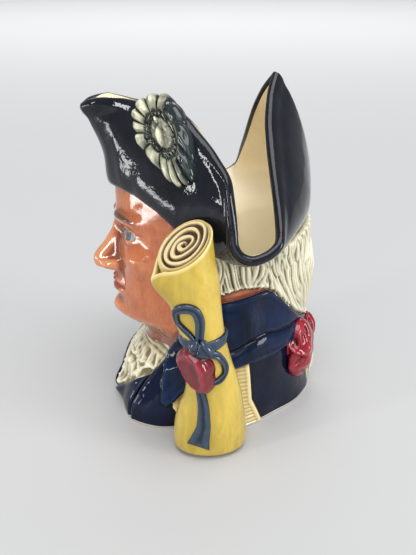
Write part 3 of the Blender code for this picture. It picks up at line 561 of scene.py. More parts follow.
def bust_carving(angle, height, sizes):
    """Outer radius of the bust with its carving, its drop, and the regions' fields."""
    bare = bare_radius(angle, height)
    side = np.abs(angle)
    across = np.radians(angle) * bare
    open_face = smooth_step(58.0, 46.0, side)
    radius = bare + face(across, height) * open_face
    drop = face_drop(across, height) * open_face
    collar = region(COLLAR, side, height)
    ragged = 0.7 * wander(side * 0.8, 6) + 0.6 * wander(side * 2.1, 4)
    hair = region(HAIR, side, height) + ragged * smooth_step(92.0, 82.0, height)
    epaulette = region(EPAULETTE, side, height)
    cravat = region(CRAVAT, angle, height)
    lapel = region(LAPEL, side, height)
    front = region(COAT_FRONT, side, height)
    radius += smooth_step(-0.6, 1.6, cravat) * (
        0.3 + cravat_relief(angle, height, sizes.ruffle_depth * MM))
    radius += sizes.lapel_relief * MM * smooth_step(-0.7, 0.7, lapel)
    radius += 0.35 * bell(lapel, 1.6, 0.9)
    near = smooth_step(60.0, 46.0, side)
    open_front = smooth_step(1.2, -1.2, collar) * near
    radius += 1.6 * sizes.lapel_relief * MM * smooth_step(-0.7, 0.7, front) * open_front
    radius += 0.45 * bell(front, 1.5, 0.9) * open_front
    shown = smooth_step(0.8, -0.8, collar)
    radius += sizes.epaulette_relief * MM * smooth_step(-0.6, 0.6, epaulette) * shown
    border = smooth_step(2.1, 2.9, epaulette) * shown
    radius += (0.55 * ridges(height / 2.4, 0.7) - 0.75) * border
    crease = read(CREASE, side)[0]
    leaf = 1.0 + 0.42 * bell(height, crease - 5.0, 4.2) + 0.55 * near
    edge = 0.35 * bell(collar, 1.7, 1.0)
    radius += (sizes.collar_relief * MM * leaf + edge) * smooth_step(-0.8, 0.8, collar)
    fold = bell(height, crease + 0.8, 1.2) * smooth_step(60.0, 82.0, side)
    radius -= 1.0 * fold * smooth_step(1.0, 4.0, collar)
    radius += 0.22 * wander(side * 0.07, 4, height * 0.16) * smooth_step(1.0, 4.0, collar)
    locks = 0.9 * sizes.hair_relief * MM + hair_relief(angle, height, sizes.lock_depth * MM)
    hat_radius, hat_height = read(FOLD, side)
    below = hat_height - height
    tuck = hat_radius - 0.7 + 0.9 * np.clip(below, 0.0, 40.0)
    haired = radius + locks * smooth_step(-0.7, 1.9, hair)
    radius = np.where(side > 50.0, np.minimum(haired, np.maximum(tuck, bare)), haired)
    radius += 0.10 * wander(across * 0.11, 2, height * 0.12)
    neckline = height - read(NECKLINE, side)[0]
    eye = eye_opening(np.abs(across), height)
    looked = np.hypot(np.abs(across) - EYE_ACROSS - 0.2, height - EYE + 0.7)
    lash = 0.42 - np.abs(height - eye_edges(np.abs(across))[0] - 0.1)
    lash = np.minimum(lash, EYE_HALF + 0.5 - np.abs(np.abs(across) - EYE_ACROSS))
    fields = dict(collar=collar, hair=hair, epaulette=epaulette, cravat=cravat, lapel=lapel,
                  front=front, neckline=neckline, eye=eye, iris=IRIS_SIZE - looked,
                  pupil=PUPIL_SIZE - looked, lash=lash,
                  lips=lip_cover(np.abs(across), height) * open_face,
                  brow=brow_cover(np.abs(across), height) * open_face)
    return radius, drop, fields


def averaged(grid, passes):
    """Softens a grid whose columns go all the way round."""
    for _ in range(passes):
        wide = (np.roll(grid, 1, axis=1) + 2.0 * grid + np.roll(grid, -1, axis=1)) / 4.0
        padded = np.vstack([wide[:1], wide, wide[-1:]])
        grid = (padded[:-2] + 2.0 * padded[1:-1] + padded[2:]) / 4.0
    return grid


def hollows(grid, passes, depth):
    """0 in the grooves of a relief, 1 on its ridges and a half where it is plain."""
    return np.clip(0.5 + (grid - averaged(grid, passes)) / depth, 0.0, 1.0)


def quads(rows, count, closed=True):
    """Corners of the faces between the points of a grid, whose rows may close round."""
    across = np.arange(count if closed else count - 1)
    beside = (across + 1) % count
    low = np.arange(rows - 1)[:, None] * count
    corners = np.stack([low + across, low + beside, low + count + beside, low + count + across],
                       axis=-1)
    return corners.reshape(-1, 4)


def halved(corners):
    """The two triangles of each four-cornered face."""
    return np.vstack([corners[:, [0, 1, 2]], corners[:, [0, 2, 3]]])


def round_steps(count):
    """Directions that go evenly once round."""
    return np.linspace(0.0, 2.0 * math.pi, count, endpoint=False)


def ball(rows, count, margin=0.03):
    """A ball's angles down from its top and round it, and its points."""
    down = np.linspace(margin, math.pi - margin, rows)
    polar, turn = np.meshgrid(down, round_steps(count), indexing="ij")
    points = [np.sin(polar) * np.cos(turn), np.sin(polar) * np.sin(turn), np.cos(polar)]
    return polar, turn, np.stack(points, axis=-1)


def cut_along(values, triangles, index):
    """Cuts the triangles along the zero line of one column of values, which all stay linear."""
    field = values[:, index]
    above = field[triangles] > 0.0
    count = above.sum(axis=1)
    mixed = (count == 1) | (count == 2)
    cut = triangles[mixed]
    above = above[mixed]
    lone = above.sum(axis=1) == 1
    odd = np.argmax(above == lone[:, None], axis=1)
    order = (odd[:, None] + np.arange(3)) % 3
    first, second, third = np.take_along_axis(cut, order, axis=1).T
    ends = np.concatenate([np.stack([first, second], 1), np.stack([first, third], 1)])
    edges, place = np.unique(np.sort(ends, axis=1), axis=0, return_inverse=True)
    low = field[edges[:, 0]]
    high = field[edges[:, 1]]
    part = np.clip(low / (low - high), 0.02, 0.98)[:, None]
    made = values[edges[:, 0]] * (1.0 - part) + values[edges[:, 1]] * part
    made[:, index] = 0.0
    place = place.reshape(-1) + len(values)
    beside = place[: len(cut)]
    beyond = place[len(cut):]
    return np.vstack([values, made]), np.concatenate([
        triangles[~mixed],
        np.stack([first, beside, beyond], 1),
        np.stack([beside, second, third], 1),
        np.stack([beside, third, beyond], 1),
    ])


# Fields whose edges are cut into the mesh, and marks that are only carried along.
CUTS = ("collar", "hair", "epaulette", "cravat", "lapel", "front", "neckline", "eye", "iris",
        "pupil", "lash")
KEPT = ("lips", "brow")
# Which piece each field belongs to. A later one covers the ones before it.
LAID_OVER = (
    ("neckline", "head"), ("cravat", "cravat"), ("lapel", "coat"), ("front", "coat"),
    ("epaulette", "epaulettes"), ("collar", "collar"), ("hair", "wig"),
)
HEAD_PAINTS = ("flesh", "white", "iris", "pupil", "lash")


def size_values():
    """The sizes as they now stand, by which the carved bust is kept."""
    sizes = bpy.context.scene.jug_sizes
    names = tuple(JugSizes.__annotations__)
    return collections.namedtuple("Sizes", names)(*(getattr(sizes, name) for name in names))


@functools.lru_cache(maxsize=1)
def bust_surface(sizes):
    """Points, marks and triangles of the whole bust, cut along every painted edge."""
    around = columns()
    angles = np.append(around, around[0] + 360.0)
    top = read(FOLD, np.abs(turned_in(angles)))[1] + 0.6
    shares = np.linspace(0.0, 1.0, BUST_ROWS)
    turn, up = np.meshgrid(angles, shares)
    height = FOOT_ROUNDING + up * (top - FOOT_ROUNDING)
    radius, drop, fields = bust_carving(turned_in(turn), height, sizes)
    depth = hollows(radius[:, :-1], 14, 0.9)
    depth = np.hstack([depth, depth[:, :1]])
    # Painted shade under the chin: the bare neck below the jaw gets a lower relief mark, so it takes the
    # hollow colour.
    bare_neck = (fields["neckline"] > 0) & (fields["cravat"] < 0) & (fields["collar"] < 0)
    depth = depth - 0.26 * smooth_step(CHIN_HEIGHT + 4.0, CHIN_HEIGHT - 4.0, height) * bare_neck
    way = np.radians(turn)
    points = np.stack([radius * np.sin(way), -radius * np.cos(way), height - drop], axis=-1)
    rows = [points.reshape(-1, 3), depth.reshape(-1, 1)]
    rows += [fields[name].reshape(-1, 1) for name in KEPT + CUTS]
    values = np.hstack(rows)
    triangles = halved(quads(BUST_ROWS, len(angles), closed=False))
    first = 4 + len(KEPT)
    for step, name in enumerate(CUTS):
        values, triangles = cut_along(values, triangles, first + step)
    middle = values[triangles].mean(axis=1)[:, first:]
    inside = {name: middle[:, step] > 0.0 for step, name in enumerate(CUTS)}
    label = np.full(len(triangles), LABELS.index("coat"))
    for field, piece in LAID_OVER:
        label[inside[field]] = LABELS.index(piece)
    paint = np.zeros(len(triangles), int)
    paint[inside["lash"]] = HEAD_PAINTS.index("lash")
    paint[inside["eye"]] = HEAD_PAINTS.index("white")
    paint[inside["eye"] & inside["iris"]] = HEAD_PAINTS.index("iris")
    paint[inside["eye"] & inside["pupil"]] = HEAD_PAINTS.index("pupil")
    paint[label != LABELS.index("head")] = 0
    return values[:, :first], triangles, label, paint


def bust_part(name):
    """The bust's own points, faces and marks under one label."""
    values, triangles, label, paint = bust_surface(size_values())
    mine = label == LABELS.index(name)
    used, faces = np.unique(triangles[mine], return_inverse=True)
    faces = faces.reshape(-1, 3)
    rows = values[used]
    _, kept, place = np.unique(np.round(rows[:, :3], 3), axis=0, return_index=True,
                               return_inverse=True)
    faces = place.reshape(-1)[faces]
    whole = (faces[:, 0] != faces[:, 1]) & (faces[:, 1] != faces[:, 2]) & (faces[:, 0] != faces[:, 2])
    return rows[kept], faces[whole], paint[mine][whole]


def brim_grid(turn, rise, bead):
    """Outer and inner faces of the brim over grids of direction and rise."""
    centre = hat_centre(turn, rise)
    normal = hat_normal(turn, rise)
    length = brim_length(turn[0])
    to_crest = (1.0 - rise) * length
    within = np.clip(1.0 - to_crest / HALF_WALL, 0.0, 1.0)
    reach = HALF_WALL * np.sqrt(np.clip(1.0 - within * within, 0.0, 1.0))
    roll = bead * (bell(to_crest, 3.6, 2.3) - 0.7 * bell(to_crest, 8.2, 2.6))
    ripple = 0.16 * wander(turn * 0.11, 1, to_crest * 0.10) * smooth_step(0.0, 6.0, to_crest)
    puff = 1.7 * bell(rise * length, 3.0, 9.5) * smooth_step(78.0, 60.0, np.abs(turn))
    outer = centre + normal * (reach + roll + puff + ripple)[..., None]
    return outer, centre - normal * reach[..., None]


def brim_rises(count):
    """Rows of rise for each column: even up the flap, then round the crest."""
    around = turned_in(columns())
    length = brim_length(around)
    share = 1.0 - HALF_WALL / length
    rows = [share * row / count for row in range(count)]
    for turn in np.linspace(0.0, 0.5 * math.pi, ROUNDING_ROWS):
        rows.append(1.0 - HALF_WALL * (1.0 - math.sin(turn)) / length)
    return around, np.array(rows)


def glaze_stop(around):
    """How far above the inner edge the hat's glaze stops, as an angle round the crest."""
    far = smooth_step(-4.0, -11.0, around) * smooth_step(-84.0, -70.0, around)
    return math.radians(68.0) * far


def inner_row(around, to_crest):
    """Row of the brim's inner face at distances below its crest."""
    rise = 1.0 - to_crest / brim_length(around)
    return brim_grid(around[None], rise[None], 0.0)[1][0]


def hat_grid(sizes):
    """The hat's outer face from its edge on the head over the crest to where the lining starts."""
    around, rise = brim_rises(BRIM_ROWS)
    turn = np.broadcast_to(around, rise.shape)
    outer, _ = brim_grid(turn, rise, sizes.rim_roll * MM)
    radius, height = read(FOLD, np.abs(around))
    tucked = spoke(around, radius - 3.4, height + 0.8)
    under = spoke(around, radius - 2.2, height - 0.2)
    puff = 1.3 * smooth_step(78.0, 60.0, np.abs(around))
    edge = spoke(around, radius - 1.0 + puff, height - 0.55)
    lip = spoke(around, radius - 0.15 + puff, height - 0.1)
    stop = glaze_stop(around)
    rim = []
    for part in np.linspace(1.0, 0.0, ROUNDING_ROWS)[1:]:
        tilt = stop + (0.5 * math.pi - stop) * part
        rim.append(inner_row(around, HALF_WALL * (1.0 - np.sin(tilt))))
    return np.array([tucked, under, edge, lip, *outer[1:], *rim])


def lining_grid():
    """The inner face from the rim down the flaps, the head and the bust to the floor."""
    around, rise = brim_rises(BRIM_ROWS)
    turn = np.broadcast_to(around, rise.shape)
    _, inner = brim_grid(turn, rise, 0.0)
    top = read(FOLD, np.abs(around))[1] - HALF_WALL
    last = BRIM_ROWS - 5
    start = HALF_WALL * (1.0 - np.sin(glaze_stop(around)))
    stop = (1.0 - rise[last]) * brim_length(around)
    rows = [inner_row(around, start + (stop - start) * part**2) for part in np.linspace(0.0, 1.0, 9)]
    rows += [*inner[last - 1::-1]]
    for up in np.linspace(1.0, 0.0, INSIDE_ROWS):
        level = FLOOR + (top - FLOOR) * up
        size = bare_radius(around, level) - WALL - 0.6
        corner = max(0.0, 1.0 - up / 0.06) ** 2 * 4.0
        rows.append(spoke(around, size - corner, level))
    floor = rows[-1]
    middle = floor.mean(axis=0)
    for part in np.linspace(0.9, 0.0, 12):
        ring = middle + (floor - middle) * part
        ring[:, 2] = FLOOR - 0.25 * (1.0 - part)
        rows.append(ring)
    return np.array(rows)


# The free sheet of the scroll: direction and height of its top edge.
SHEET_EDGE = (
    (-180, 124.5), (-140, 128), (-100, 127), (-75, 124.6), (-59, 122.5), (-41, 119.6), (-25, 116.8),
    (-8, 114), (10, 111.9), (32, 110), (50, 108), (60, 106), (69, 103.2), (80, 104.5),
    (95, 107.5), (130, 113), (180, 124.5),
)
SHEET_LIFT = 1.5


def scroll_top(direction, lift):
    """Heights round the slanting end of the roll."""
    level = SCROLL_TOP + 0.0 * direction
    back, out, _, _ = read(SCROLL, SCROLL_TOP)
    for _ in range(6):
        point = scroll_skin(level, direction, lift, 0.0)
        rise = math.tan(SCROLL_TILT) * (point[:, 1] - back)
        level = SCROLL_TOP + rise + math.tan(SCROLL_LEAN) * (out - point[:, 0])
    return level


SCROLL_COLUMNS = 260
SHEET_ROWS = 120
ROLL_ROWS = 22
SPIRAL_ROWS = 74
SPIRAL_TURNS = 3.7


def scroll_grid(sizes):
    """Rows up the loose sheet, over its edge, up the roll and in across its spiral end."""
    direction = np.linspace(-180.0, 180.0, SCROLL_COLUMNS, endpoint=False)
    plain = 0.0 * direction
    lip = SHEET_LIFT
    end = scroll_top(direction, -lip)
    sheet_top = np.minimum(read(SHEET_EDGE, direction)[0], end - 1.2)
    base = 1.5
    foot = scroll_skin(base + plain, direction, -3.0, 1.0)
    rows = [foot.mean(axis=0) + 0.0 * foot, foot]
    marks = [0.5 + plain, 0.5 + plain]
    paint = [plain, plain]
    pale = [plain, plain]

    def add(level, lift, corner, mark, lip_shade=0.0, light=0.0):
        rows.append(scroll_skin(level, direction, lift, corner))
        marks.append(mark + plain)
        paint.append(lip_shade + plain)
        pale.append(light + plain)

    for part in (0.0, 0.3, 0.6, 0.85):
        turn = part * math.pi / 2.0
        add(base + 2.2 * (1.0 - math.cos(turn)) + plain, 2.2 * math.sin(turn) - 2.2, 1.0, 0.45)
    start = base + 2.2
    for part in np.linspace(0.0, 1.0, SHEET_ROWS):
        level = start + (sheet_top - start) * part
        ripple = 0.14 * wander(level * 0.07, 2, direction * 0.03)
        add(level, ripple, 1.0, 0.5 + 0.38 * smooth_step(2.2, 0.0, sheet_top - level))
    # Painted shade under the loose sheet's lip: the rows where its edge turns in get the brown paint mark
    # and a low relief mark, stronger towards the face's side, and less of the pale colour.
    tip = bell(direction, 66.0, 26.0)
    shaded_side = bell(direction, 78.0, 44.0)
    for lift, drop, corner, mark, lip_shade in (
            (0.05, -0.35, 1.0, 0.9, 0.0), (-0.45 * lip, -0.35, 0.93, 0.85, 0.0),
            (-0.85 * lip, 0.3, 0.78, 0.5, 0.35), (-lip, 1.4, 0.5, 0.2, 0.9),
            (-lip, 1.2, 0.25, 0.15, 0.9), (-lip, 0.0, 0.08, 0.3, 0.5), (-lip, -1.0, 0.0, 0.5, 0.0)):
        level = sheet_top - drop * (0.5 + 0.9 * tip)
        add(level, lift, corner, mark, lip_shade * (0.25 + 0.75 * shaded_side), 0.5 * (1.0 - lip_shade))
    roll_start = sheet_top + 0.55 + 1.0 * tip
    for part in np.linspace(0.0, 1.0, ROLL_ROWS)[1:]:
        add(roll_start + (end - roll_start) * part, -lip, 0.0, 0.5 + 0.3 * part, 0.0, 0.5 * part)
    rim = rows[-1]
    middle = rim.mean(axis=0)
    normal = unit_rows(np.array([math.tan(SCROLL_LEAN), -math.tan(SCROLL_TILT), 1.0]))
    turn = np.radians(direction)
    for part in np.linspace(1.0, 0.0, SPIRAL_ROWS)[1:]:
        ring = middle + (rim - middle) * part
        wobble = 0.10 * np.sin(turn * 2.0 + part * 5.0) + 0.06 * np.sin(turn * 3.0 - part * 9.0)
        phase = (part + 0.03) * SPIRAL_TURNS + direction / 360.0 + wobble
        breadth = 0.07 * np.sin(turn + 2.6)
        sheet = smooth_step(0.20 + breadth, 0.33 + breadth, np.abs((phase % 1.0) - 0.5))
        dish = smooth_step(1.0, 0.88, part)
        dish_depth = -sizes.spiral_depth * MM * (1.0 - sheet) * dish
        round_over = -0.8 * smooth_step(0.94, 1.0, part)
        core = smooth_step(0.10, 0.05, part)
        rows.append(ring + normal * (dish_depth + round_over - 0.8 * core)[:, None])
        marks.append(0.68 - 0.5 * (1.0 - sheet) * dish)
        paint.append(np.maximum((1.0 - sheet) * dish, core))
        pale.append(1.0 + plain)
    return np.array(rows), np.array(marks), np.array(paint), np.array(pale)


RIBBON_SIDES = 36


def ribbon_rings(route, widths, count, thick, pinch, notch=0.0):
    """Rings of points of a soft flat ribbon laid along a path on the scroll."""
    spread = np.linspace(0.0, 1.0, len(widths))
    at = np.linspace(0.0, 1.0, count)
    broad = np.interp(at, spread, widths)
    path = resampled(route, count)
    here, out, _, _ = scroll_frame(path[:, 0], path[:, 1])
    for _ in range(6):
        here[1:-1] = (here[:-2] + 2.0 * here[1:-1] + here[2:]) / 4.0
        out[1:-1] = (out[:-2] + 2.0 * out[1:-1] + out[2:]) / 4.0
    out = unit_rows(out)
    ahead = unit_rows(np.gradient(here, axis=0))
    side = unit_rows(np.cross(ahead, out))
    turn = round_steps(RIBBON_SIDES)
    across = 0.5 * np.sign(np.cos(turn)) * np.abs(np.cos(turn)) ** 0.62
    lift = np.sign(np.sin(turn)) * np.abs(np.sin(turn)) ** 0.45
    rings = []
    marks = []
    for spot in range(count):
        end = min(spot, count - 1 - spot) / 5.0
        close = max(math.sqrt(min(1.0, end)) if pinch else min(1.0, 0.25 + end), 0.05)
        index = spot - notch * (1.0 - 2.0 * np.abs(across)) * at[spot] ** 6
        place = np.stack([np.interp(index, np.arange(count), here[:, axis]) for axis in range(3)], -1)
        cross = 0.10 * math.sin(at[spot] * 23.0) * across * 2.0
        hollow = -0.26 * bell(across, 0.04, 0.13) + 0.07 * math.sin(at[spot] * 17.0) + cross
        height = thick * (0.14 + 0.80 * lift + hollow * (lift > 0.0)) * close
        half = broad[spot] * (close if pinch else 1.0)
        rings.append(place + np.outer(across * half, side[spot]) + np.outer(height, out[spot]))
        marks.append(0.66 - 0.9 * bell(across, 0.04, 0.10) * (lift > 0.0) - 0.55 * (np.abs(across) > 0.47))
    return np.array(rings), np.array(marks)


def tube_faces(rings, count):
    """Faces of a tube of rings, its two ends closed by fans of their own points."""
    top = (rings - 1) * count
    ends = []
    for column in range(1, count - 1):
        ends.append((0, column + 1, column))
        ends.append((top, top + column, top + column + 1))
    return np.vstack([halved(quads(rings, count)), np.array(ends)])


BAND_POINTS = 200
BAND_ROWS = 28
KNOT_SIZE = (6.1, 4.6, 5.7)
KNOT_GRID = (56, 84)
TAIL_NOTCH = 9.0


def band_rings(thick):
    """The turn of ribbon round the scroll, drawn down a little where it is knotted."""
    around = np.linspace(-180.0, 180.0, BAND_POINTS, endpoint=False)
    level = BAND_LEVEL + 1.8 * (1.0 - bell(around, KNOT_PLACE[1], 48.0)) - 0.6
    here, _, _, _ = scroll_frame(level, around)
    out = unit_rows((here - here.mean(axis=0)) * [1, 1, 0])
    rings = []
    marks = []
    for turn in round_steps(BAND_ROWS):
        rise = math.sin(turn)
        up = 0.84 * BAND_HALF * np.sign(math.cos(turn)) * abs(math.cos(turn)) ** 0.6
        lift = thick * (0.05 + 0.52 * np.sign(rise) * abs(rise) ** 0.5)
        crease = 0.16 * np.sin(around * 0.09 + up) * (rise > 0.0)
        ring = here + out * (lift + crease)[:, None]
        ring[:, 2] += up
        rings.append(ring)
        marks.append(0.62 + 0.0 * around - 0.4 * (abs(up) > 0.8 * BAND_HALF) - 0.3 * bell(up, 0.5, 0.5))
    return np.array(rings), np.array(marks)


def knot_rings():
    """The knot as a ball of a few turned folds."""
    here, out, forward, upward = scroll_frame(*(np.array([value]) for value in KNOT_PLACE))
    polar, turn, body = ball(*KNOT_GRID)
    x, _, y = np.moveaxis(body, -1, 0)
    groove = bell(x + 0.45 * y, 0.34, 0.10) + 0.8 * bell(x - 0.3 * y, -0.42, 0.10)
    groove = groove + 0.7 * bell(y - 0.2 * x, 0.05, 0.12) * smooth_step(-0.3, 0.2, x)
    swell = 1.0 + 0.05 * np.sin(3.0 * turn + 1.5 * y) * np.sin(polar) - 0.11 * groove
    body = body * np.array(KNOT_SIZE) * swell[..., None]
    knot = here[0] + out[0] * 0.9 + body @ np.array([forward[0], out[0], upward[0]])
    return knot, 0.62 - 0.6 * groove


def gathered(parts):
    """Points, faces and relief of closed surfaces, each given by its rings, faces and marks."""
    points = []
    faces = []
    relief = []
    count = 0
    for rings, made, marks in parts:
        flat = rings.reshape(-1, 3)
        faces.append(facing_out(flat, made) + count)
        points.append(flat)
        relief.append(np.broadcast_to(marks, rings.shape[:2]).ravel())
        count += len(flat)
    return np.vstack(points), np.vstack(faces), np.clip(np.concatenate(relief), 0.0, 1.0)


def ribbon_parts(sizes):
    """Points, faces and relief of the band, its two loops, its tail and the knot."""
    thick = sizes.ribbon_thickness * MM
    width = sizes.ribbon_width * MM
    tail = np.array(TAIL_WIDTHS) * width / USUAL_RIBBON_WIDTH
    tubes = (
        ribbon_rings(UPPER_LOOP, np.array(UPPER_WIDTHS) * width, 120, thick, True),
        ribbon_rings(LOWER_LOOP, np.array(LOWER_WIDTHS) * width, 90, thick, True),
        ribbon_rings(TAIL, tail, 80, 0.8 * thick, False, TAIL_NOTCH),
        knot_rings(),
    )
    parts = [(rings, tube_faces(*rings.shape[:2]), marks) for rings, marks in tubes]
    band, marks = band_rings(thick)
    corners = quads(BAND_ROWS + 1, BAND_POINTS) % (BAND_ROWS * BAND_POINTS)
    parts.append((band, halved(corners), marks))
    return gathered(parts)


def seal_grid(sizes):
    """The pressed wax: an uneven thick edge round a tilted, slightly dished face."""
    level, direction = SEAL_PLACE
    here, out, forward, upward = scroll_frame(np.array([level]), np.array([direction]))
    tall, broad = SEAL_SIZE
    thick = sizes.seal_thickness * MM
    part, turn = np.meshgrid(np.linspace(1.0, 0.0, 64), np.linspace(0, 2 * math.pi, 180,
                             endpoint=False), indexing="ij")
    edge = 1.0 + 0.05 * np.sin(3 * turn + 0.9) + 0.035 * np.sin(5 * turn) + 0.015 * np.sin(9 * turn)
    x = part * np.cos(turn)
    y = part * np.sin(turn)
    facet = 0.05 * np.abs(np.sin(4.0 * turn + 0.6)) * smooth_step(0.62, 0.95, part)
    rise = smooth_step(1.0, 0.90, part) * 0.55 + smooth_step(0.93, 0.74, part) * 0.45 + facet
    rise += 0.05 * bell(part, 0.70, 0.08) - 0.04 * smooth_step(0.72, 0.5, part)
    rise *= thick * (1.12 - 0.50 * x + 0.12 * y)
    rise += 0.22 * wander(x * 4.0, 2, y * 4.5) * smooth_step(0.98, 0.7, part)
    mottle = wander(x * 3.4, 5, y * 3.0) * smooth_step(0.95, 0.7, part)
    skirt = part > 0.995
    rise = np.where(skirt, -3.6, rise)
    size = np.where(skirt, 1.0, part) * edge
    lean = size * np.cos(turn) * broad + 0.22 * size * np.sin(turn) * broad
    points = (here[0] + rise[..., None] * out[0] + lean[..., None] * forward[0]
              + (size * np.sin(turn) * tall)[..., None] * upward[0])
    marks = 0.46 + 0.22 * bell(part, 0.74, 0.10) + 0.20 * mottle
    return points, np.clip(marks, 0.0, 1.0)


# Lumps of the rosette's raised middle: place across and up, breadth, tallness and height.
COCKADE_MIDDLE = (
    (0.06, -0.10, 0.12, 0.21, 0.55), (-0.16, 0.24, 0.09, 0.09, 0.40),
    (0.14, 0.17, 0.08, 0.08, 0.20), (-0.19, 0.0, 0.07, 0.07, 0.20),
)
COCKADE_ROWS = 84
COCKADE_COLUMNS = 390


def cockade_grid(sizes):
    """The rosette: a round of plump pleats, a beaded trough and a raised middle."""
    rise = sizes.rosette_relief * MM
    part, turn = np.meshgrid(np.linspace(1.0, 0.0, COCKADE_ROWS), np.linspace(
        0.0, 2.0 * math.pi, COCKADE_COLUMNS, endpoint=False), indexing="ij")
    uneven = 0.20 * np.sin(turn * 2.0 + 0.7) + 0.14 * np.sin(turn * 3.0 + 2.0)
    number = COCKADE_PLEATS * turn / (2.0 * math.pi) + uneven + 0.30 * (part - 0.5)
    aside = 2.0 * (number % 1.0) - 1.0
    plump = np.sqrt(np.clip(1.0 - 0.97 * aside * aside, 0.0, 1.0))
    own = 0.5 + 0.5 * np.sin(np.floor(number) * 2.4 + 0.8)
    reach = 1.0 + 0.10 * (plump - 0.75) + 0.03 * (own - 0.5)
    reach = reach + 0.10 * bell(turn, math.radians(20.0), 0.7) + 0.10 * bell(turn, 2 * math.pi, 0.35)
    reach = reach - 0.06 * bell(turn, math.radians(268.0), 0.5)
    outward = smooth_step(0.42, 0.62, part)
    end = np.sqrt(np.clip(1.0 - np.clip((part - 0.74) / 0.262, 0.0, 1.0) ** 2, 0.0, 1.0))
    height = 0.22 + 0.30 * end + outward * (0.50 * plump * (0.75 + 0.35 * own) * end - 0.06)
    dent = bell(part, 0.82, 0.075) * bell(aside, 0.1, 0.42) * (own > 0.45)
    height = height - 0.10 * dent
    crimp = 0.02 * np.sin(aside * 7.0 + own * 6.0) * outward * smooth_step(1.0, 0.9, part)
    x = part * np.cos(turn)
    y = part * np.sin(turn)
    trough = bell(part, 0.42, 0.07)
    beads = ridges(8.0 * turn / math.pi + 0.5 * np.sin(turn * 3.0), 0.9) * bell(part, 0.44, 0.035)
    height = height + crimp - 0.16 * trough + 0.22 * beads
    middle = 0.0
    for far_x, far_y, wide, tall, lift in COCKADE_MIDDLE:
        away = np.hypot((x - far_x + 0.35 * (y - far_y)) / wide, (y - far_y) / tall)
        middle = np.maximum(middle, lift * np.exp(-(away**2.6)))
    height = height + middle + 0.03 * wander(x * 11.0, 3, y * 11.0)
    skirt = part > 0.995
    size = np.where(skirt, 1.0, part) * reach
    angle = COCKADE_PLACE[0] + size * (15.8 * np.cos(turn) - 3.0 * np.sin(turn))
    up = COCKADE_PLACE[1] + size * (0.31 * np.sin(turn) - 0.09 * np.cos(turn))
    around = hat_centre(angle + 1.0, up) - hat_centre(angle - 1.0, up)
    upward = hat_centre(angle, up + 0.01) - hat_centre(angle, up - 0.01)
    normal = unit_rows(np.cross(around, upward))
    lift = np.where(skirt, -2.0, rise * height)
    points = hat_centre(angle, up) + normal * (WALL / 2.0 + lift)[..., None]
    groove = smooth_step(0.86, 1.0, np.abs(aside)) * outward
    crest = bell(part, 0.80, 0.16) * smooth_step(0.75, 0.35, np.abs(aside + 0.15))
    mark = 0.42 + 2.6 * (height - averaged(height, 30)) - 0.8 * groove - 0.5 * trough * (1.0 - beads)
    mottle = wander(x * 4.2, 5, y * 4.2) + 0.6 * wander(x * 9.0, 7, y * 8.0)
    mark = mark + 0.40 * smooth_step(0.15, 0.4, middle) + 0.45 * crest - 0.25 * dent
    mark = mark - 0.10 + 0.22 * mottle - 0.35 * bell(part, 0.46, 0.09) * (1.0 - beads)
    way = np.degrees(np.where(turn > math.pi, turn - 2.0 * math.pi, turn))
    wash = smooth_step(0.52, 0.62, part + 0.06 * wander(turn * 3.0, 2)) * smooth_step(-32.0, -12.0, way)
    return points, np.clip(mark, 0.0, 1.0), wash * smooth_step(100.0, 84.0, way)


# Folds of a bow's loop: direction round it, height, width in degrees, tallness, lean and rise.
BOW_FOLDS = (
    (166, 0.40, 17, 0.14, 0.20, -0.22), (140, -0.20, 22, 0.10, -0.35, -0.17),
    (112, 0.24, 13, 0.17, 0.0, 0.18), (150, 0.86, 26, 0.14, 0.0, 0.14),
    (150, 0.13, 34, 0.085, 0.30, 0.14), (172, -0.42, 24, 0.16, 0.0, 0.15),
    (104, 0.72, 6, 0.22, 0.25, -0.24), (205, 0.30, 9, 0.28, 0.0, 0.12),
    (108, -0.34, 14, 0.16, 0.0, 0.12), (130, 0.62, 8, 0.15, 0.5, -0.16),
    (196, -0.05, 13, 0.06, -0.4, -0.16), (126, -0.62, 20, 0.07, 0.3, -0.14),
    (165, -0.74, 20, 0.09, 0.0, 0.10),
)


# The loops reach into the clay behind them by this share of their relief, so they stop inside the wall.
BOW_SUNK_SHARE = 0.5


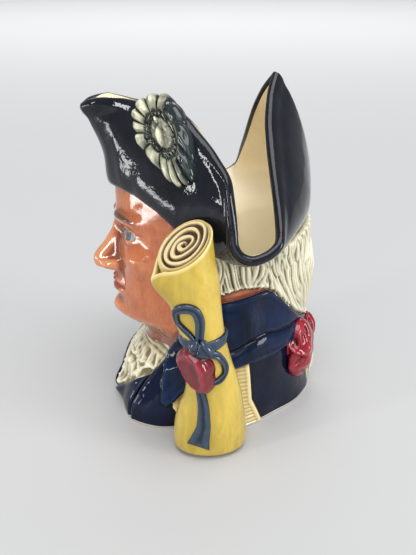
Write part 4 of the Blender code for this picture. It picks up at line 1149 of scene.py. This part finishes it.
def bow_parts(sizes):
    """The hair ribbon: two crumpled loops and the knot between them."""
    deep = sizes.bow_relief * MM
    lean = math.radians(BOW_LOOP_FACES)
    polar, turn, body = ball(*BOW_LOOP_GRID, 0.02)
    x, face_out, y = np.moveaxis(body, -1, 0)
    relief = 0.025 * np.sin(7.0 * turn + 5.0 * y) + 0.02 * np.sin(13.0 * y - 3.0 * turn)
    for facing, up, wide, tall, slope, amount in BOW_FOLDS:
        aside = (np.degrees(turn) - facing) * np.sin(polar)
        along_it = (y - up - slope * aside / 60.0) / tall
        relief = relief + amount * np.exp(-((aside / wide) ** 2) - along_it**2)
    swell = 1.0 + 0.03 * np.sin(5.0 * turn + 3.0 * polar) * np.sin(polar)
    swell = swell * (1.0 + relief)
    sunk = np.where(face_out < 0.0, BOW_SUNK_SHARE, 1.0)
    across, back, height = BOW_LOOP_PLACE
    breadth, tallness = BOW_LOOP_SIZE
    parts = []
    for way in (1.0, -1.0):
        out = np.array([way * math.sin(lean), -math.cos(lean), 0.0])
        along = np.array([way * math.cos(lean), math.sin(lean), 0.0])
        rings = np.array([way * across, back, height]) + (
            np.multiply.outer(x * breadth * swell, along)
            + np.multiply.outer(face_out * sunk * deep * swell, out)
            + np.multiply.outer(y * tallness, np.array([0.0, 0.0, 1.0])))
        parts.append((rings, tube_faces(*BOW_LOOP_GRID), 0.54 + 1.5 * relief))
    polar, turn, body = ball(*BOW_KNOT_GRID)
    folds = np.sin(11.0 * turn + 0.6 * np.sin(3 * polar)) * np.sin(polar)
    knot = np.array(BOW_KNOT_PLACE) + body * (1.0 + 0.05 * folds)[..., None] * np.array(BOW_KNOT_SIZE)
    parts.append((knot, tube_faces(*BOW_KNOT_GRID), 0.5 + 0.4 * folds))
    return gathered(parts)


def queue_grid():
    """The tail of hair under the bow, in long strands."""
    polar, turn, body = ball(*QUEUE_GRID)
    strands = ridges(turn * 13.0 / (2 * math.pi) + 0.5 * np.sin(polar * 4.0), 0.7) - 0.6
    swell = 1.0 + 0.09 * strands * np.sin(polar)
    points = np.array(QUEUE_PLACE) + body * swell[..., None] * np.array(QUEUE_SIZE)
    return points, np.clip(0.5 + strands, 0.0, 1.0)


def base_rings():
    """The foot ring and the slightly sunk unglazed underside."""
    sizes = bpy.context.scene.jug_sizes
    around = turned_in(columns())
    height = np.full_like(around, FOOT_ROUNDING)
    radius, _, _ = bust_carving(around, height, sizes)
    rings = [spoke(around, radius, height)]
    for turn in (0.25, 0.5, 0.75, 1.0):
        inward = FOOT_ROUNDING * (1.0 - math.cos(turn * math.pi / 2.0))
        drop = FOOT_ROUNDING * math.sin(turn * math.pi / 2.0)
        rings.append(spoke(around, radius - inward, FOOT_ROUNDING - drop + 0.0 * around))
    foot = rings[-1]
    middle = foot.mean(axis=0)
    for part, sunk in ((0.94, 0.0), (0.90, 0.3), (0.88, 0.9), (0.6, 1.0), (0.3, 1.0), (0.02, 1.0)):
        ring = middle + (foot - middle) * part
        ring[:, 2] = sunk
        rings.append(ring)
    return np.array(rings)


def facing_out(points, faces):
    """The faces of a closed surface, turned to face outward."""
    triangles = halved(faces) if faces.shape[1] == 4 else faces
    corners = (points - points.mean(axis=0))[triangles]
    volume = np.einsum("ij,ij->i", corners[:, 0], np.cross(corners[:, 1], corners[:, 2])).sum()
    return faces if volume > 0.0 else faces[:, ::-1]


def welded(points, faces, paint):
    """Which points stay, the triangles between them and their paint, with no doubled point."""
    if faces.shape[1] == 4:
        faces = np.vstack([faces[:, [0, 1, 2]], faces[:, [0, 2, 3]]])
        paint = np.tile(paint, 2)
    _, kept, place = np.unique(np.round(points, 3), axis=0, return_index=True, return_inverse=True)
    faces = place.reshape(-1)[faces]
    first, second, third = faces.T
    whole = (first != second) & (second != third) & (third != first)
    return kept, faces[whole], paint[whole]


def add_piece(name, points, faces, materials, marks, paint=None):
    """A piece of the jug with its materials, its painted marks and its place in the frame."""
    paint = np.zeros(len(faces), int) if paint is None else paint
    kept, faces, paint = welded(points, faces, paint)
    mesh = bpy.data.meshes.new(name)
    mesh.vertices.add(len(kept))
    placed = np.clip(points[kept] * SHARE, CAD_BOX[0], CAD_BOX[1])
    mesh.vertices.foreach_set("co", placed.astype(np.float32).ravel())
    mesh.loops.add(faces.size)
    mesh.loops.foreach_set("vertex_index", faces.astype(np.int32).ravel())
    mesh.polygons.add(len(faces))
    mesh.polygons.foreach_set("loop_start", np.arange(0, faces.size, 3, dtype=np.int32))
    mesh.polygons.foreach_set("material_index", paint.astype(np.int32))
    for label, values in marks.items():
        layer = mesh.attributes.new(label, "FLOAT", "POINT")
        layer.data.foreach_set("value", np.asarray(values, np.float32).ravel()[kept])
    mesh.update(calc_edges=True)
    mesh.shade_smooth()
    for material in materials:
        mesh.materials.append(material)
    piece = bpy.data.objects.new(name, mesh)
    bpy.context.scene.collection.objects.link(piece)
    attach(piece, BODY)
    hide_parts(NODE)


def new_group(name, inputs, outputs):
    """A shader node group with its sockets, and its first and last node."""
    group = bpy.data.node_groups.new(name, "ShaderNodeTree")
    for label, kind, value in inputs:
        socket = group.interface.new_socket(label, in_out="INPUT", socket_type=kind)
        if value is not None:
            socket.default_value = value
    for label, kind in outputs:
        group.interface.new_socket(label, in_out="OUTPUT", socket_type=kind)
    return group, group.nodes.new("NodeGroupInput"), group.nodes.new("NodeGroupOutput")


def math_node(tree, operation, first, second, clamp=False):
    node = tree.nodes.new("ShaderNodeMath")
    node.operation = operation
    node.use_clamp = clamp
    for socket, value in zip(node.inputs, (first, second)):
        if isinstance(value, (int, float)):
            socket.default_value = value
        else:
            tree.links.new(value, socket)
    return node.outputs["Value"]


def ranged(tree, value, low, high):
    """0 at the low value and 1 at the high one, held beyond them."""
    node = tree.nodes.new("ShaderNodeMapRange")
    tree.links.new(value, node.inputs["Value"])
    node.inputs["From Min"].default_value = low
    node.inputs["From Max"].default_value = high
    return node.outputs["Result"]


def mixed(tree, factor, first, second):
    """Mix of two colours by a factor socket."""
    node = tree.nodes.new("ShaderNodeMix")
    node.data_type = "RGBA"
    tree.links.new(factor, node.inputs["Factor"])
    for socket, value in ((node.inputs[6], first), (node.inputs[7], second)):
        if isinstance(value, tuple):
            socket.default_value = value
        else:
            tree.links.new(value, socket)
    return node.outputs[2]


def noise(tree, place, scale, detail, distortion=0.0):
    node = tree.nodes.new("ShaderNodeTexNoise")
    tree.links.new(place, node.inputs["Vector"])
    if isinstance(scale, (int, float)):
        node.inputs["Scale"].default_value = scale
    else:
        tree.links.new(scale, node.inputs["Scale"])
    node.inputs["Detail"].default_value = detail
    node.inputs["Distortion"].default_value = distortion
    return node.outputs["Fac"]


def stretched(tree, place, size):
    node = tree.nodes.new("ShaderNodeMapping")
    node.inputs["Scale"].default_value = size
    tree.links.new(place, node.inputs["Vector"])
    return node.outputs["Vector"]


def paint_group():
    """Brushed underglaze colour: streaky, darker in the hollows, where glaze gathers and shade is painted
    in, and paler on the ridges, where the glaze runs thinner and a highlight is painted in.
    """
    name = "brushed_paint"
    if name in bpy.data.node_groups:
        return bpy.data.node_groups[name]
    colour = "NodeSocketColor"
    number = "NodeSocketFloat"
    group, start, end = new_group(name, (
        ("Colour", colour, None), ("Second colour", colour, None), ("Hollow colour", colour, None),
        ("Ridge colour", colour, None), ("Relief", number, 0.5), ("Brush scale", number, 60.0),
        ("Brush amount", number, 0.6), ("Hollow amount", number, 0.8),
        ("Ridge amount", number, 0.5), ("Stipple", number, 0.1),
    ), (("Colour", colour),))
    place = group.nodes.new("ShaderNodeTexCoord").outputs["Object"]
    wide = noise(group, place, start.outputs["Brush scale"], 3.0, 0.8)
    streak = noise(group, stretched(group, place, (1.0, 2.2, 0.55)),
                   math_node(group, "MULTIPLY", start.outputs["Brush scale"], 3.2), 4.0, 1.4)
    brush = math_node(group, "ADD", math_node(group, "MULTIPLY", ranged(group, wide, 0.34, 0.66), 0.6),
                      math_node(group, "MULTIPLY", ranged(group, streak, 0.34, 0.70), 0.4))
    factor = math_node(group, "MULTIPLY", brush, start.outputs["Brush amount"], True)
    tint = mixed(group, factor, start.outputs["Colour"], start.outputs["Second colour"])
    pool = noise(group, place, 420.0, 2.0)
    # Hollow colour where the relief mark is low: painted shade as well as the glaze that gathers in the
    # hollows.
    low = ranged(group, math_node(group, "ADD", start.outputs["Relief"],
                                  math_node(group, "MULTIPLY", ranged(group, pool, 0.3, 0.7), 0.10)),
                 0.54, 0.14)
    low = math_node(group, "MULTIPLY", low, start.outputs["Hollow amount"], True)
    tint = mixed(group, low, tint, start.outputs["Hollow colour"])
    # Ridge colour where the relief mark is high: a painted highlight as well as the thinner glaze on the
    # ridges.
    high = math_node(group, "MULTIPLY", ranged(group, start.outputs["Relief"], 0.54, 0.92),
                     start.outputs["Ridge amount"], True)
    tint = mixed(group, high, tint, start.outputs["Ridge colour"])
    grain = noise(group, place, 1500.0, 2.0)
    fleck = math_node(group, "MULTIPLY", ranged(group, grain, 0.52, 0.72), start.outputs["Stipple"],
                      True)
    tint = mixed(group, fleck, tint, start.outputs["Hollow colour"])
    group.links.new(tint, end.inputs["Colour"])
    return group


def skin_group():
    """The glaze's surface: a slow swell and a faint orange peel, with a little uneven gloss."""
    name = "glaze_skin"
    if name in bpy.data.node_groups:
        return bpy.data.node_groups[name]
    number = "NodeSocketFloat"
    group, start, end = new_group(name, (
        ("Swell", number, 0.35), ("Peel", number, 0.05), ("Low roughness", number, 0.05),
        ("High roughness", number, 0.13),
    ), (("Roughness", number), ("Normal", "NodeSocketVector")))
    place = group.nodes.new("ShaderNodeTexCoord").outputs["Object"]
    slow = noise(group, place, 95.0, 1.0, 0.3)
    fine = noise(group, place, 620.0, 1.0)
    bump = group.nodes.new("ShaderNodeBump")
    bump.inputs["Distance"].default_value = 0.001
    group.links.new(start.outputs["Swell"], bump.inputs["Strength"])
    group.links.new(slow, bump.inputs["Height"])
    peel = group.nodes.new("ShaderNodeBump")
    peel.inputs["Distance"].default_value = 0.0004
    group.links.new(start.outputs["Peel"], peel.inputs["Strength"])
    group.links.new(fine, peel.inputs["Height"])
    group.links.new(bump.outputs["Normal"], peel.inputs["Normal"])
    group.links.new(peel.outputs["Normal"], end.inputs["Normal"])
    gloss = group.nodes.new("ShaderNodeMix")
    gloss.data_type = "FLOAT"
    group.links.new(ranged(group, noise(group, place, 45.0, 3.0), 0.35, 0.7), gloss.inputs[0])
    group.links.new(start.outputs["Low roughness"], gloss.inputs[2])
    group.links.new(start.outputs["High roughness"], gloss.inputs[3])
    group.links.new(gloss.outputs[0], end.inputs["Roughness"])
    return group


def rgba(colour):
    return (colour[0], colour[1], colour[2], 1.0)


def attribute(tree, name):
    node = tree.nodes.new("ShaderNodeAttribute")
    node.attribute_name = name
    return node.outputs["Fac"]


def glazed(name, colour, second, hollow, ridge, brush=(60.0, 0.6), relief=(0.8, 0.5), stipple=0.08,
           swell=0.35, peel=0.05, gloss=(0.05, 0.12), coat=0.5, specular=0.5, over=()):
    """A painted, glazed finish. Each row of over lays a colour where a mark of the mesh is set."""
    if name in bpy.data.materials:
        return bpy.data.materials[name]
    material = bpy.data.materials.new(name)
    material.use_nodes = True
    tree = material.node_tree
    shader = tree.nodes["Principled BSDF"]
    paint = tree.nodes.new("ShaderNodeGroup")
    paint.node_tree = paint_group()
    for label, value in (("Colour", colour), ("Second colour", second), ("Hollow colour", hollow),
                         ("Ridge colour", ridge)):
        paint.inputs[label].default_value = rgba(value)
    for label, value in (("Brush scale", brush[0]), ("Brush amount", brush[1]),
                         ("Hollow amount", relief[0]), ("Ridge amount", relief[1]),
                         ("Stipple", stipple)):
        paint.inputs[label].default_value = value
    tree.links.new(attribute(tree, "relief"), paint.inputs["Relief"])
    tint = paint.outputs["Colour"]
    for mark, layer in over:
        tint = mixed(tree, attribute(tree, mark), tint, rgba(layer))
    tree.links.new(tint, shader.inputs["Base Color"])
    skin = tree.nodes.new("ShaderNodeGroup")
    skin.node_tree = skin_group()
    for label, value in (("Swell", swell), ("Peel", peel), ("Low roughness", gloss[0]),
                         ("High roughness", gloss[1])):
        skin.inputs[label].default_value = value
    tree.links.new(skin.outputs["Roughness"], shader.inputs["Roughness"])
    tree.links.new(skin.outputs["Normal"], shader.inputs["Normal"])
    shader.inputs["Specular IOR Level"].default_value = specular
    shader.inputs["Coat Weight"].default_value = coat
    shader.inputs["Coat Roughness"].default_value = 0.04
    return material


def hat_glaze():
    tone = bpy.context.scene.jug_colours.hat
    return glazed("hat_black", tone, (0.011, 0.013, 0.021), (0.0015, 0.0015, 0.003),
                  (0.018, 0.021, 0.030), brush=(34.0, 0.8), relief=(0.8, 0.4), stipple=0.0,
                  swell=0.35, peel=0.15, gloss=(0.03, 0.07), coat=0.0, specular=0.32)


def coat_glaze():
    tone = bpy.context.scene.jug_colours.coat
    return glazed("coat_navy", tone, (0.004, 0.008, 0.032), (0.0006, 0.0006, 0.002),
                  (0.014, 0.022, 0.060), brush=(30.0, 1.0), relief=(0.9, 0.4), stipple=0.0,
                  swell=0.40, peel=0.12, gloss=(0.03, 0.07), coat=0.0, specular=0.22)


def collar_glaze():
    tone = bpy.context.scene.jug_colours.collar
    return glazed("collar_blue", tone, (0.0045, 0.0185, 0.070), (0.0006, 0.0008, 0.003),
                  (0.013, 0.028, 0.080), brush=(30.0, 1.0), relief=(0.95, 0.4), stipple=0.0,
                  swell=0.40, peel=0.12, gloss=(0.03, 0.07), coat=0.0, specular=0.22)


def cream_glaze(name="hair_cream", second=(0.34, 0.31, 0.175), hollow=(0.082, 0.075, 0.034)):
    tone = bpy.context.scene.jug_colours.hair
    return glazed(name, tone, second, hollow, (0.82, 0.79, 0.62), brush=(36.0, 0.95),
                  relief=(0.95, 0.85), stipple=0.05, gloss=(0.05, 0.12), coat=0.0)


def scroll_glaze():
    tone = bpy.context.scene.jug_colours.scroll
    # The paint mark lays brown in the spiral's grooves and, under the sheet's lip, painted shade.
    return glazed("scroll_yellow", tone, (0.37, 0.26, 0.035), (0.20, 0.13, 0.025),
                  (0.86, 0.73, 0.36), brush=(30.0, 0.9), relief=(0.7, 0.7), stipple=0.05,
                  gloss=(0.05, 0.12), coat=0.0,
                  over=(("pale", (0.66, 0.53, 0.28)), ("paint", (0.050, 0.020, 0.008))))


def crimson_glaze(name, colour, second, hollow):
    return glazed(name, colour, second, hollow, (0.50, 0.06, 0.09), brush=(90.0, 0.8),
                  relief=(0.95, 0.55), stipple=0.0, gloss=(0.03, 0.08), coat=0.0)


def grid_piece(name, grid, materials, turn=None, **marks):
    """A piece from a grid of points whose rows close round, plain where no relief is given."""
    rows, count = grid.shape[:2]
    points = grid.reshape(-1, 3)
    faces = quads(rows, count)
    if turn == "out":
        faces = facing_out(points, faces)
    elif turn == "over":
        faces = faces[:, ::-1]
    add_piece(name, points, faces, materials, {"relief": np.full((rows, count), 0.5), **marks})


def bust_piece(name, materials):
    """A piece that is one region of the bust."""
    rows, faces, paint = bust_part(name)
    marks = {"relief": rows[:, 3], "lips": rows[:, 4], "brow": rows[:, 5]}
    add_piece(name, rows[:, :3], faces, materials, marks, paint)


def length_property(name, description, default):
    return FloatProperty(name=name, description=description, default=default, unit="LENGTH")


class JugSizes(bpy.types.PropertyGroup):
    """Depths of the fine relief."""

    hair_relief: length_property("Hair relief", "How far the wig stands off the head", 0.0030)
    lock_depth: length_property("Lock depth", "Depth of the wig's locks", 0.0021)
    ruffle_depth: length_property("Ruffle depth", "Depth of the neckcloth's folds", 0.0015)
    collar_relief: length_property("Collar relief", "Thickness of the collar", 0.0026)
    lapel_relief: length_property("Lapel relief", "Thickness of a lapel", 0.0020)
    epaulette_relief: length_property("Epaulette relief", "Thickness of an epaulette", 0.0012)
    rim_roll: length_property("Rim roll", "Height of the roll along the hat's rim", 0.0004)
    ribbon_thickness: length_property("Ribbon thickness", "Height of the ribbon", 0.0022)
    ribbon_width: length_property("Ribbon width", "Width the ribbon is cut to", 0.0080)
    seal_thickness: length_property("Seal thickness", "Height of the wax seal", 0.0040)
    rosette_relief: length_property("Rosette relief", "Height of the rosette", 0.0065)
    bow_relief: length_property("Bow relief", "Height of the hair ribbon's loops", 0.0090)
    spiral_depth: length_property("Spiral depth", "Depth of the scroll's spiral", 0.0013)


def colour_property(name, description, default):
    return FloatVectorProperty(name=name, description=description, default=default, size=3,
                               min=0.0, max=1.0, subtype="COLOR")


class JugColours(bpy.types.PropertyGroup):
    """Main colours of the glazes."""

    hat: colour_property("Hat", "Glaze of the hat", (0.004, 0.005, 0.008))
    coat: colour_property("Coat", "Glaze of the coat", (0.002, 0.003, 0.009))
    collar: colour_property("Collar", "Glaze of the collar", (0.0015, 0.0035, 0.011))
    flesh: colour_property("Flesh", "Glaze of the face and neck", (0.55, 0.180, 0.070))
    hair: colour_property("Hair", "Glaze of the wig and the neckcloth", (0.68, 0.64, 0.46))
    gold: colour_property("Gold", "Glaze of the epaulettes", (0.60, 0.46, 0.17))
    scroll: colour_property("Scroll", "Glaze of the scroll", (0.62, 0.45, 0.075))
    ribbon: colour_property("Ribbon", "Glaze of the scroll's ribbon", (0.007, 0.019, 0.042))
    crimson: colour_property("Crimson", "Glaze of the hair ribbon", (0.18, 0.003, 0.010))
    seal: colour_property("Seal", "Glaze of the wax seal", (0.125, 0.007, 0.012))
    rosette: colour_property("Rosette", "Glaze of the rosette", (0.24, 0.25, 0.17))
    lining: colour_property("Lining", "Glaze of the inside", (0.84, 0.68, 0.42))
    clay: colour_property("Clay", "Bare clay under the foot", (0.66, 0.60, 0.50))


class JUG_OT_head(bpy.types.Operator):
    """Adds the face and neck with their painted eyes"""

    bl_idname = "jug.head"
    bl_label = "Head"

    def execute(self, context):
        tone = context.scene.jug_colours.flesh
        flesh = glazed("flesh", tone, (0.38, 0.092, 0.028), (0.17, 0.040, 0.014),
                       (0.72, 0.33, 0.17), brush=(85.0, 0.95), relief=(0.9, 0.5), stipple=0.22,
                       gloss=(0.07, 0.17), coat=0.3, over=(("lips", (0.33, 0.055, 0.035)),
                                                 ("brow", (0.10, 0.038, 0.018))))
        white = glazed("eye_white", (0.62, 0.68, 0.66), (0.42, 0.52, 0.52), (0.14, 0.16, 0.16),
                       (0.8, 0.85, 0.85), stipple=0.0)
        iris = glazed("eye_iris", (0.06, 0.16, 0.20), (0.03, 0.09, 0.12), (0.01, 0.03, 0.04),
                      (0.16, 0.28, 0.30), brush=(500.0, 0.8), stipple=0.0)
        pupil = glazed("eye_pupil", (0.006, 0.006, 0.008), (0.01, 0.01, 0.012),
                       (0.002, 0.002, 0.002), (0.02, 0.02, 0.02), stipple=0.0)
        lash = glazed("eye_line", (0.11, 0.035, 0.018), (0.07, 0.022, 0.012), (0.03, 0.01, 0.006),
                      (0.22, 0.08, 0.04), stipple=0.0)
        bust_piece("head", [flesh, white, iris, pupil, lash])
        return {"FINISHED"}


class JUG_OT_hair(bpy.types.Operator):
    """Adds the wig and the tail of hair behind"""

    bl_idname = "jug.hair"
    bl_label = "Hair"

    def execute(self, context):
        bust_piece("wig", [cream_glaze()])
        points, relief = queue_grid()
        grid_piece("queue", points, [cream_glaze()], turn="out", relief=relief)
        return {"FINISHED"}


class JUG_OT_clothes(bpy.types.Operator):
    """Adds the coat, its collar and epaulettes, and the neckcloth"""

    bl_idname = "jug.clothes"
    bl_label = "Clothes"

    def execute(self, context):
        bust_piece("coat", [coat_glaze()])
        bust_piece("collar", [collar_glaze()])
        gold = glazed("gold", context.scene.jug_colours.gold, (0.52, 0.42, 0.20),
                      (0.24, 0.17, 0.05), (0.86, 0.74, 0.42), brush=(60.0, 0.6),
                      relief=(0.8, 0.7), stipple=0.05)
        bust_piece("epaulettes", [gold])
        bust_piece("cravat", [cream_glaze("cravat_cream", (0.44, 0.36, 0.20), (0.15, 0.13, 0.055))])
        return {"FINISHED"}


class JUG_OT_hat(bpy.types.Operator):
    """Adds the hat, its lining down to the floor of the jug, and the bare foot"""

    bl_idname = "jug.hat"
    bl_label = "Hat and lining"

    def execute(self, context):
        grid = hat_grid(context.scene.jug_sizes)
        grid_piece("hat", grid, [hat_glaze()])
        grid = lining_grid()
        cream = glazed("lining_cream", context.scene.jug_colours.lining, (0.90, 0.76, 0.50),
                       (0.50, 0.30, 0.10), (0.90, 0.78, 0.55), brush=(18.0, 0.8), stipple=0.03,
                       swell=0.25, gloss=(0.10, 0.2), over=(("pool", (0.97, 0.90, 0.70)),))
        # Painted light: the lining takes a paler colour towards the bottom of the cup, below the brims, for
        # light that falls into it.
        pool = smooth_step(0.135, 0.105, grid[..., 2] * SHARE)
        grid_piece("lining", grid, [cream], pool=pool)
        rings = base_rings()
        clay = glazed("bare_clay", context.scene.jug_colours.clay, (0.58, 0.50, 0.40),
                      (0.34, 0.28, 0.2), (0.75, 0.70, 0.62), brush=(40.0, 0.5), stipple=0.12,
                      swell=0.1, peel=0.3, gloss=(0.55, 0.7), coat=0.0)
        grid_piece("foot", rings, [clay], turn="over")
        return {"FINISHED"}


class JUG_OT_rosette(bpy.types.Operator):
    """Adds the pleated rosette on the hat"""

    bl_idname = "jug.rosette"
    bl_label = "Rosette"

    def execute(self, context):
        points, relief, wash = cockade_grid(context.scene.jug_sizes)
        grey = glazed("rosette_grey", context.scene.jug_colours.rosette, (0.46, 0.45, 0.31),
                      (0.012, 0.015, 0.011), (0.74, 0.71, 0.54), brush=(230.0, 0.7),
                      relief=(1.0, 1.0), stipple=0.30, gloss=(0.04, 0.10), coat=0.0,
                      over=(("wash", (0.014, 0.021, 0.022)),))
        grid_piece("rosette", points, [grey], turn="out", relief=relief, wash=wash)
        return {"FINISHED"}


class JUG_OT_scroll(bpy.types.Operator):
    """Adds the scroll with its spiral end and loose corner"""

    bl_idname = "jug.scroll"
    bl_label = "Scroll"

    def execute(self, context):
        points, relief, paint, pale = scroll_grid(context.scene.jug_sizes)
        grid_piece("scroll", points, [scroll_glaze()], turn="out",
                   relief=relief, paint=paint, pale=pale)
        return {"FINISHED"}


class JUG_OT_ribbon(bpy.types.Operator):
    """Adds the ribbon round the scroll and the wax seal"""

    bl_idname = "jug.ribbon"
    bl_label = "Ribbon and seal"

    def execute(self, context):
        points, faces, relief = ribbon_parts(context.scene.jug_sizes)
        slate = glazed("ribbon_slate", context.scene.jug_colours.ribbon, (0.026, 0.050, 0.088),
                       (0.002, 0.004, 0.012), (0.11, 0.16, 0.21), brush=(110.0, 1.0),
                       relief=(0.9, 0.55), stipple=0.04, gloss=(0.05, 0.12), coat=0.0)
        add_piece("ribbon", points, faces, [slate], marks={"relief": relief})
        points, relief = seal_grid(context.scene.jug_sizes)
        wax = crimson_glaze("seal_crimson", context.scene.jug_colours.seal, (0.20, 0.017, 0.022),
                            (0.035, 0.002, 0.004))
        grid_piece("seal", points, [wax], turn="out", relief=relief)
        return {"FINISHED"}


class JUG_OT_bow(bpy.types.Operator):
    """Adds the crimson ribbon that ties the hair"""

    bl_idname = "jug.bow"
    bl_label = "Hair ribbon"

    def execute(self, context):
        points, faces, relief = bow_parts(context.scene.jug_sizes)
        red = crimson_glaze("bow_crimson", context.scene.jug_colours.crimson, (0.31, 0.010, 0.026),
                            (0.026, 0.0006, 0.002))
        add_piece("bow", points, faces, [red], marks={"relief": relief})
        return {"FINISHED"}


CAMERA_PLACE = (0.41397, -0.05839, 0.250)
CAMERA_VIEW = (-0.91229, 0.11202, -0.39394)
LENS = 50.85
SENSOR = 36.0
FLOOR_RADIUS = 6.0
FLOOR_SIDES = 96
FLOOR_COLOUR = (0.455, 0.458, 0.462)
ROOM_COLOUR = (0.97, 0.985, 1.0)
ROOM_LIGHT = 0.42
AIM = (0.0, 0.0, 0.10)
# The soft lamps: name, place, what it is turned to, size and power.
LAMPS = (
    ("key", (0.52, -0.98, 0.40), AIM, (0.10, 0.45), 3.2),
    ("low", (0.02, -0.64, 0.030), AIM, (0.30, 0.05), 0.55),
    ("side", (0.60, 0.85, 0.30), AIM, (0.34, 0.50), 6.5),
    ("front", (1.90, -0.50, 1.00), AIM, (1.6, 1.6), 11.0),
    ("backdrop", (-2.2, 0.25, 1.7), (-2.9, 0.35, 0.0), (3.0, 1.4), 46.0),
)
# The light from above: power, spread in degrees and the way it falls.
OVERHEAD_POWER = 2.5
OVERHEAD_SPREAD = 50.0
OVERHEAD_WAY = (-0.30, -0.05, -1.0)


def placed(name, data, place, way):
    """An object of the studio at a place, turned along a way."""
    held = bpy.data.objects.new(name, data)
    held.location = place
    held.rotation_euler = Vector(way).to_track_quat("-Z", "Y").to_euler()
    bpy.context.scene.collection.objects.link(held)
    return held


def add_lamp(name, place, aim, size, power):
    lamp = bpy.data.lights.new(name, "AREA")
    lamp.shape = "RECTANGLE"
    lamp.size, lamp.size_y = size
    lamp.energy = power
    placed(name, lamp, place, Vector(aim) - Vector(place))


def add_floor():
    """The pale floor under the jug."""
    mesh = bpy.data.meshes.new("floor")
    turn = round_steps(FLOOR_SIDES)
    ring = [(FLOOR_RADIUS * math.cos(way), FLOOR_RADIUS * math.sin(way), 0.0) for way in turn]
    mesh.from_pydata(ring, [], [tuple(range(FLOOR_SIDES))])
    floor = bpy.data.objects.new("floor", mesh)
    bpy.context.scene.collection.objects.link(floor)
    material = bpy.data.materials.new("pale_floor")
    material.use_nodes = True
    shader = material.node_tree.nodes["Principled BSDF"]
    shader.inputs["Base Color"].default_value = rgba(FLOOR_COLOUR)
    shader.inputs["Roughness"].default_value = 0.55
    mesh.materials.append(material)


class JUG_OT_studio(bpy.types.Operator):
    """Adds the pale floor, the soft lights and the camera"""

    bl_idname = "jug.studio"
    bl_label = "Studio"

    def execute(self, context):
        scene = context.scene
        scene.view_settings.view_transform = "Standard"
        add_floor()
        world = bpy.data.worlds.new("soft_room")
        world.use_nodes = True
        background = world.node_tree.nodes["Background"]
        background.inputs["Color"].default_value = rgba(ROOM_COLOUR)
        background.inputs["Strength"].default_value = ROOM_LIGHT
        scene.world = world
        for lamp in LAMPS:
            add_lamp(*lamp)
        sun = bpy.data.lights.new("overhead", "SUN")
        sun.energy = OVERHEAD_POWER
        sun.angle = math.radians(OVERHEAD_SPREAD)
        placed("overhead", sun, (0.0, 0.0, 0.0), OVERHEAD_WAY)
        camera = bpy.data.cameras.new("camera")
        camera.lens = LENS
        camera.sensor_width = SENSOR
        camera.clip_start = 0.01
        scene.camera = placed("camera", camera, CAMERA_PLACE, CAMERA_VIEW)
        return {"FINISHED"}


STEPS = (JUG_OT_head, JUG_OT_hair, JUG_OT_clothes, JUG_OT_hat, JUG_OT_rosette, JUG_OT_scroll,
         JUG_OT_ribbon, JUG_OT_bow, JUG_OT_studio)


class JUG_PT_panel(bpy.types.Panel):
    """Lists the jug's sizes, colours and steps"""

    bl_idname = "JUG_PT_panel"
    bl_label = "Character jug"
    bl_space_type = "VIEW_3D"
    bl_region_type = "UI"
    bl_category = "Jug"

    def draw(self, context):
        for group in (context.scene.jug_sizes, context.scene.jug_colours):
            box = self.layout.box()
            for name in group.__annotations__:
                box.prop(group, name)
        for step in STEPS:
            self.layout.operator(step.bl_idname)


CLASSES = (JugSizes, JugColours, *STEPS, JUG_PT_panel)


def register():
    for kind in CLASSES:
        bpy.utils.register_class(kind)
    bpy.types.Scene.jug_sizes = PointerProperty(type=JugSizes)
    bpy.types.Scene.jug_colours = PointerProperty(type=JugColours)


def unregister():
    del bpy.types.Scene.jug_colours
    del bpy.types.Scene.jug_sizes
    for kind in reversed(CLASSES):
        bpy.utils.unregister_class(kind)


def main():
    register()
    for step in ("head", "hair", "clothes", "hat", "rosette", "scroll", "ribbon", "bow", "studio"):
        getattr(bpy.ops.jug, step)()


if __name__ == "__main__":
    main()
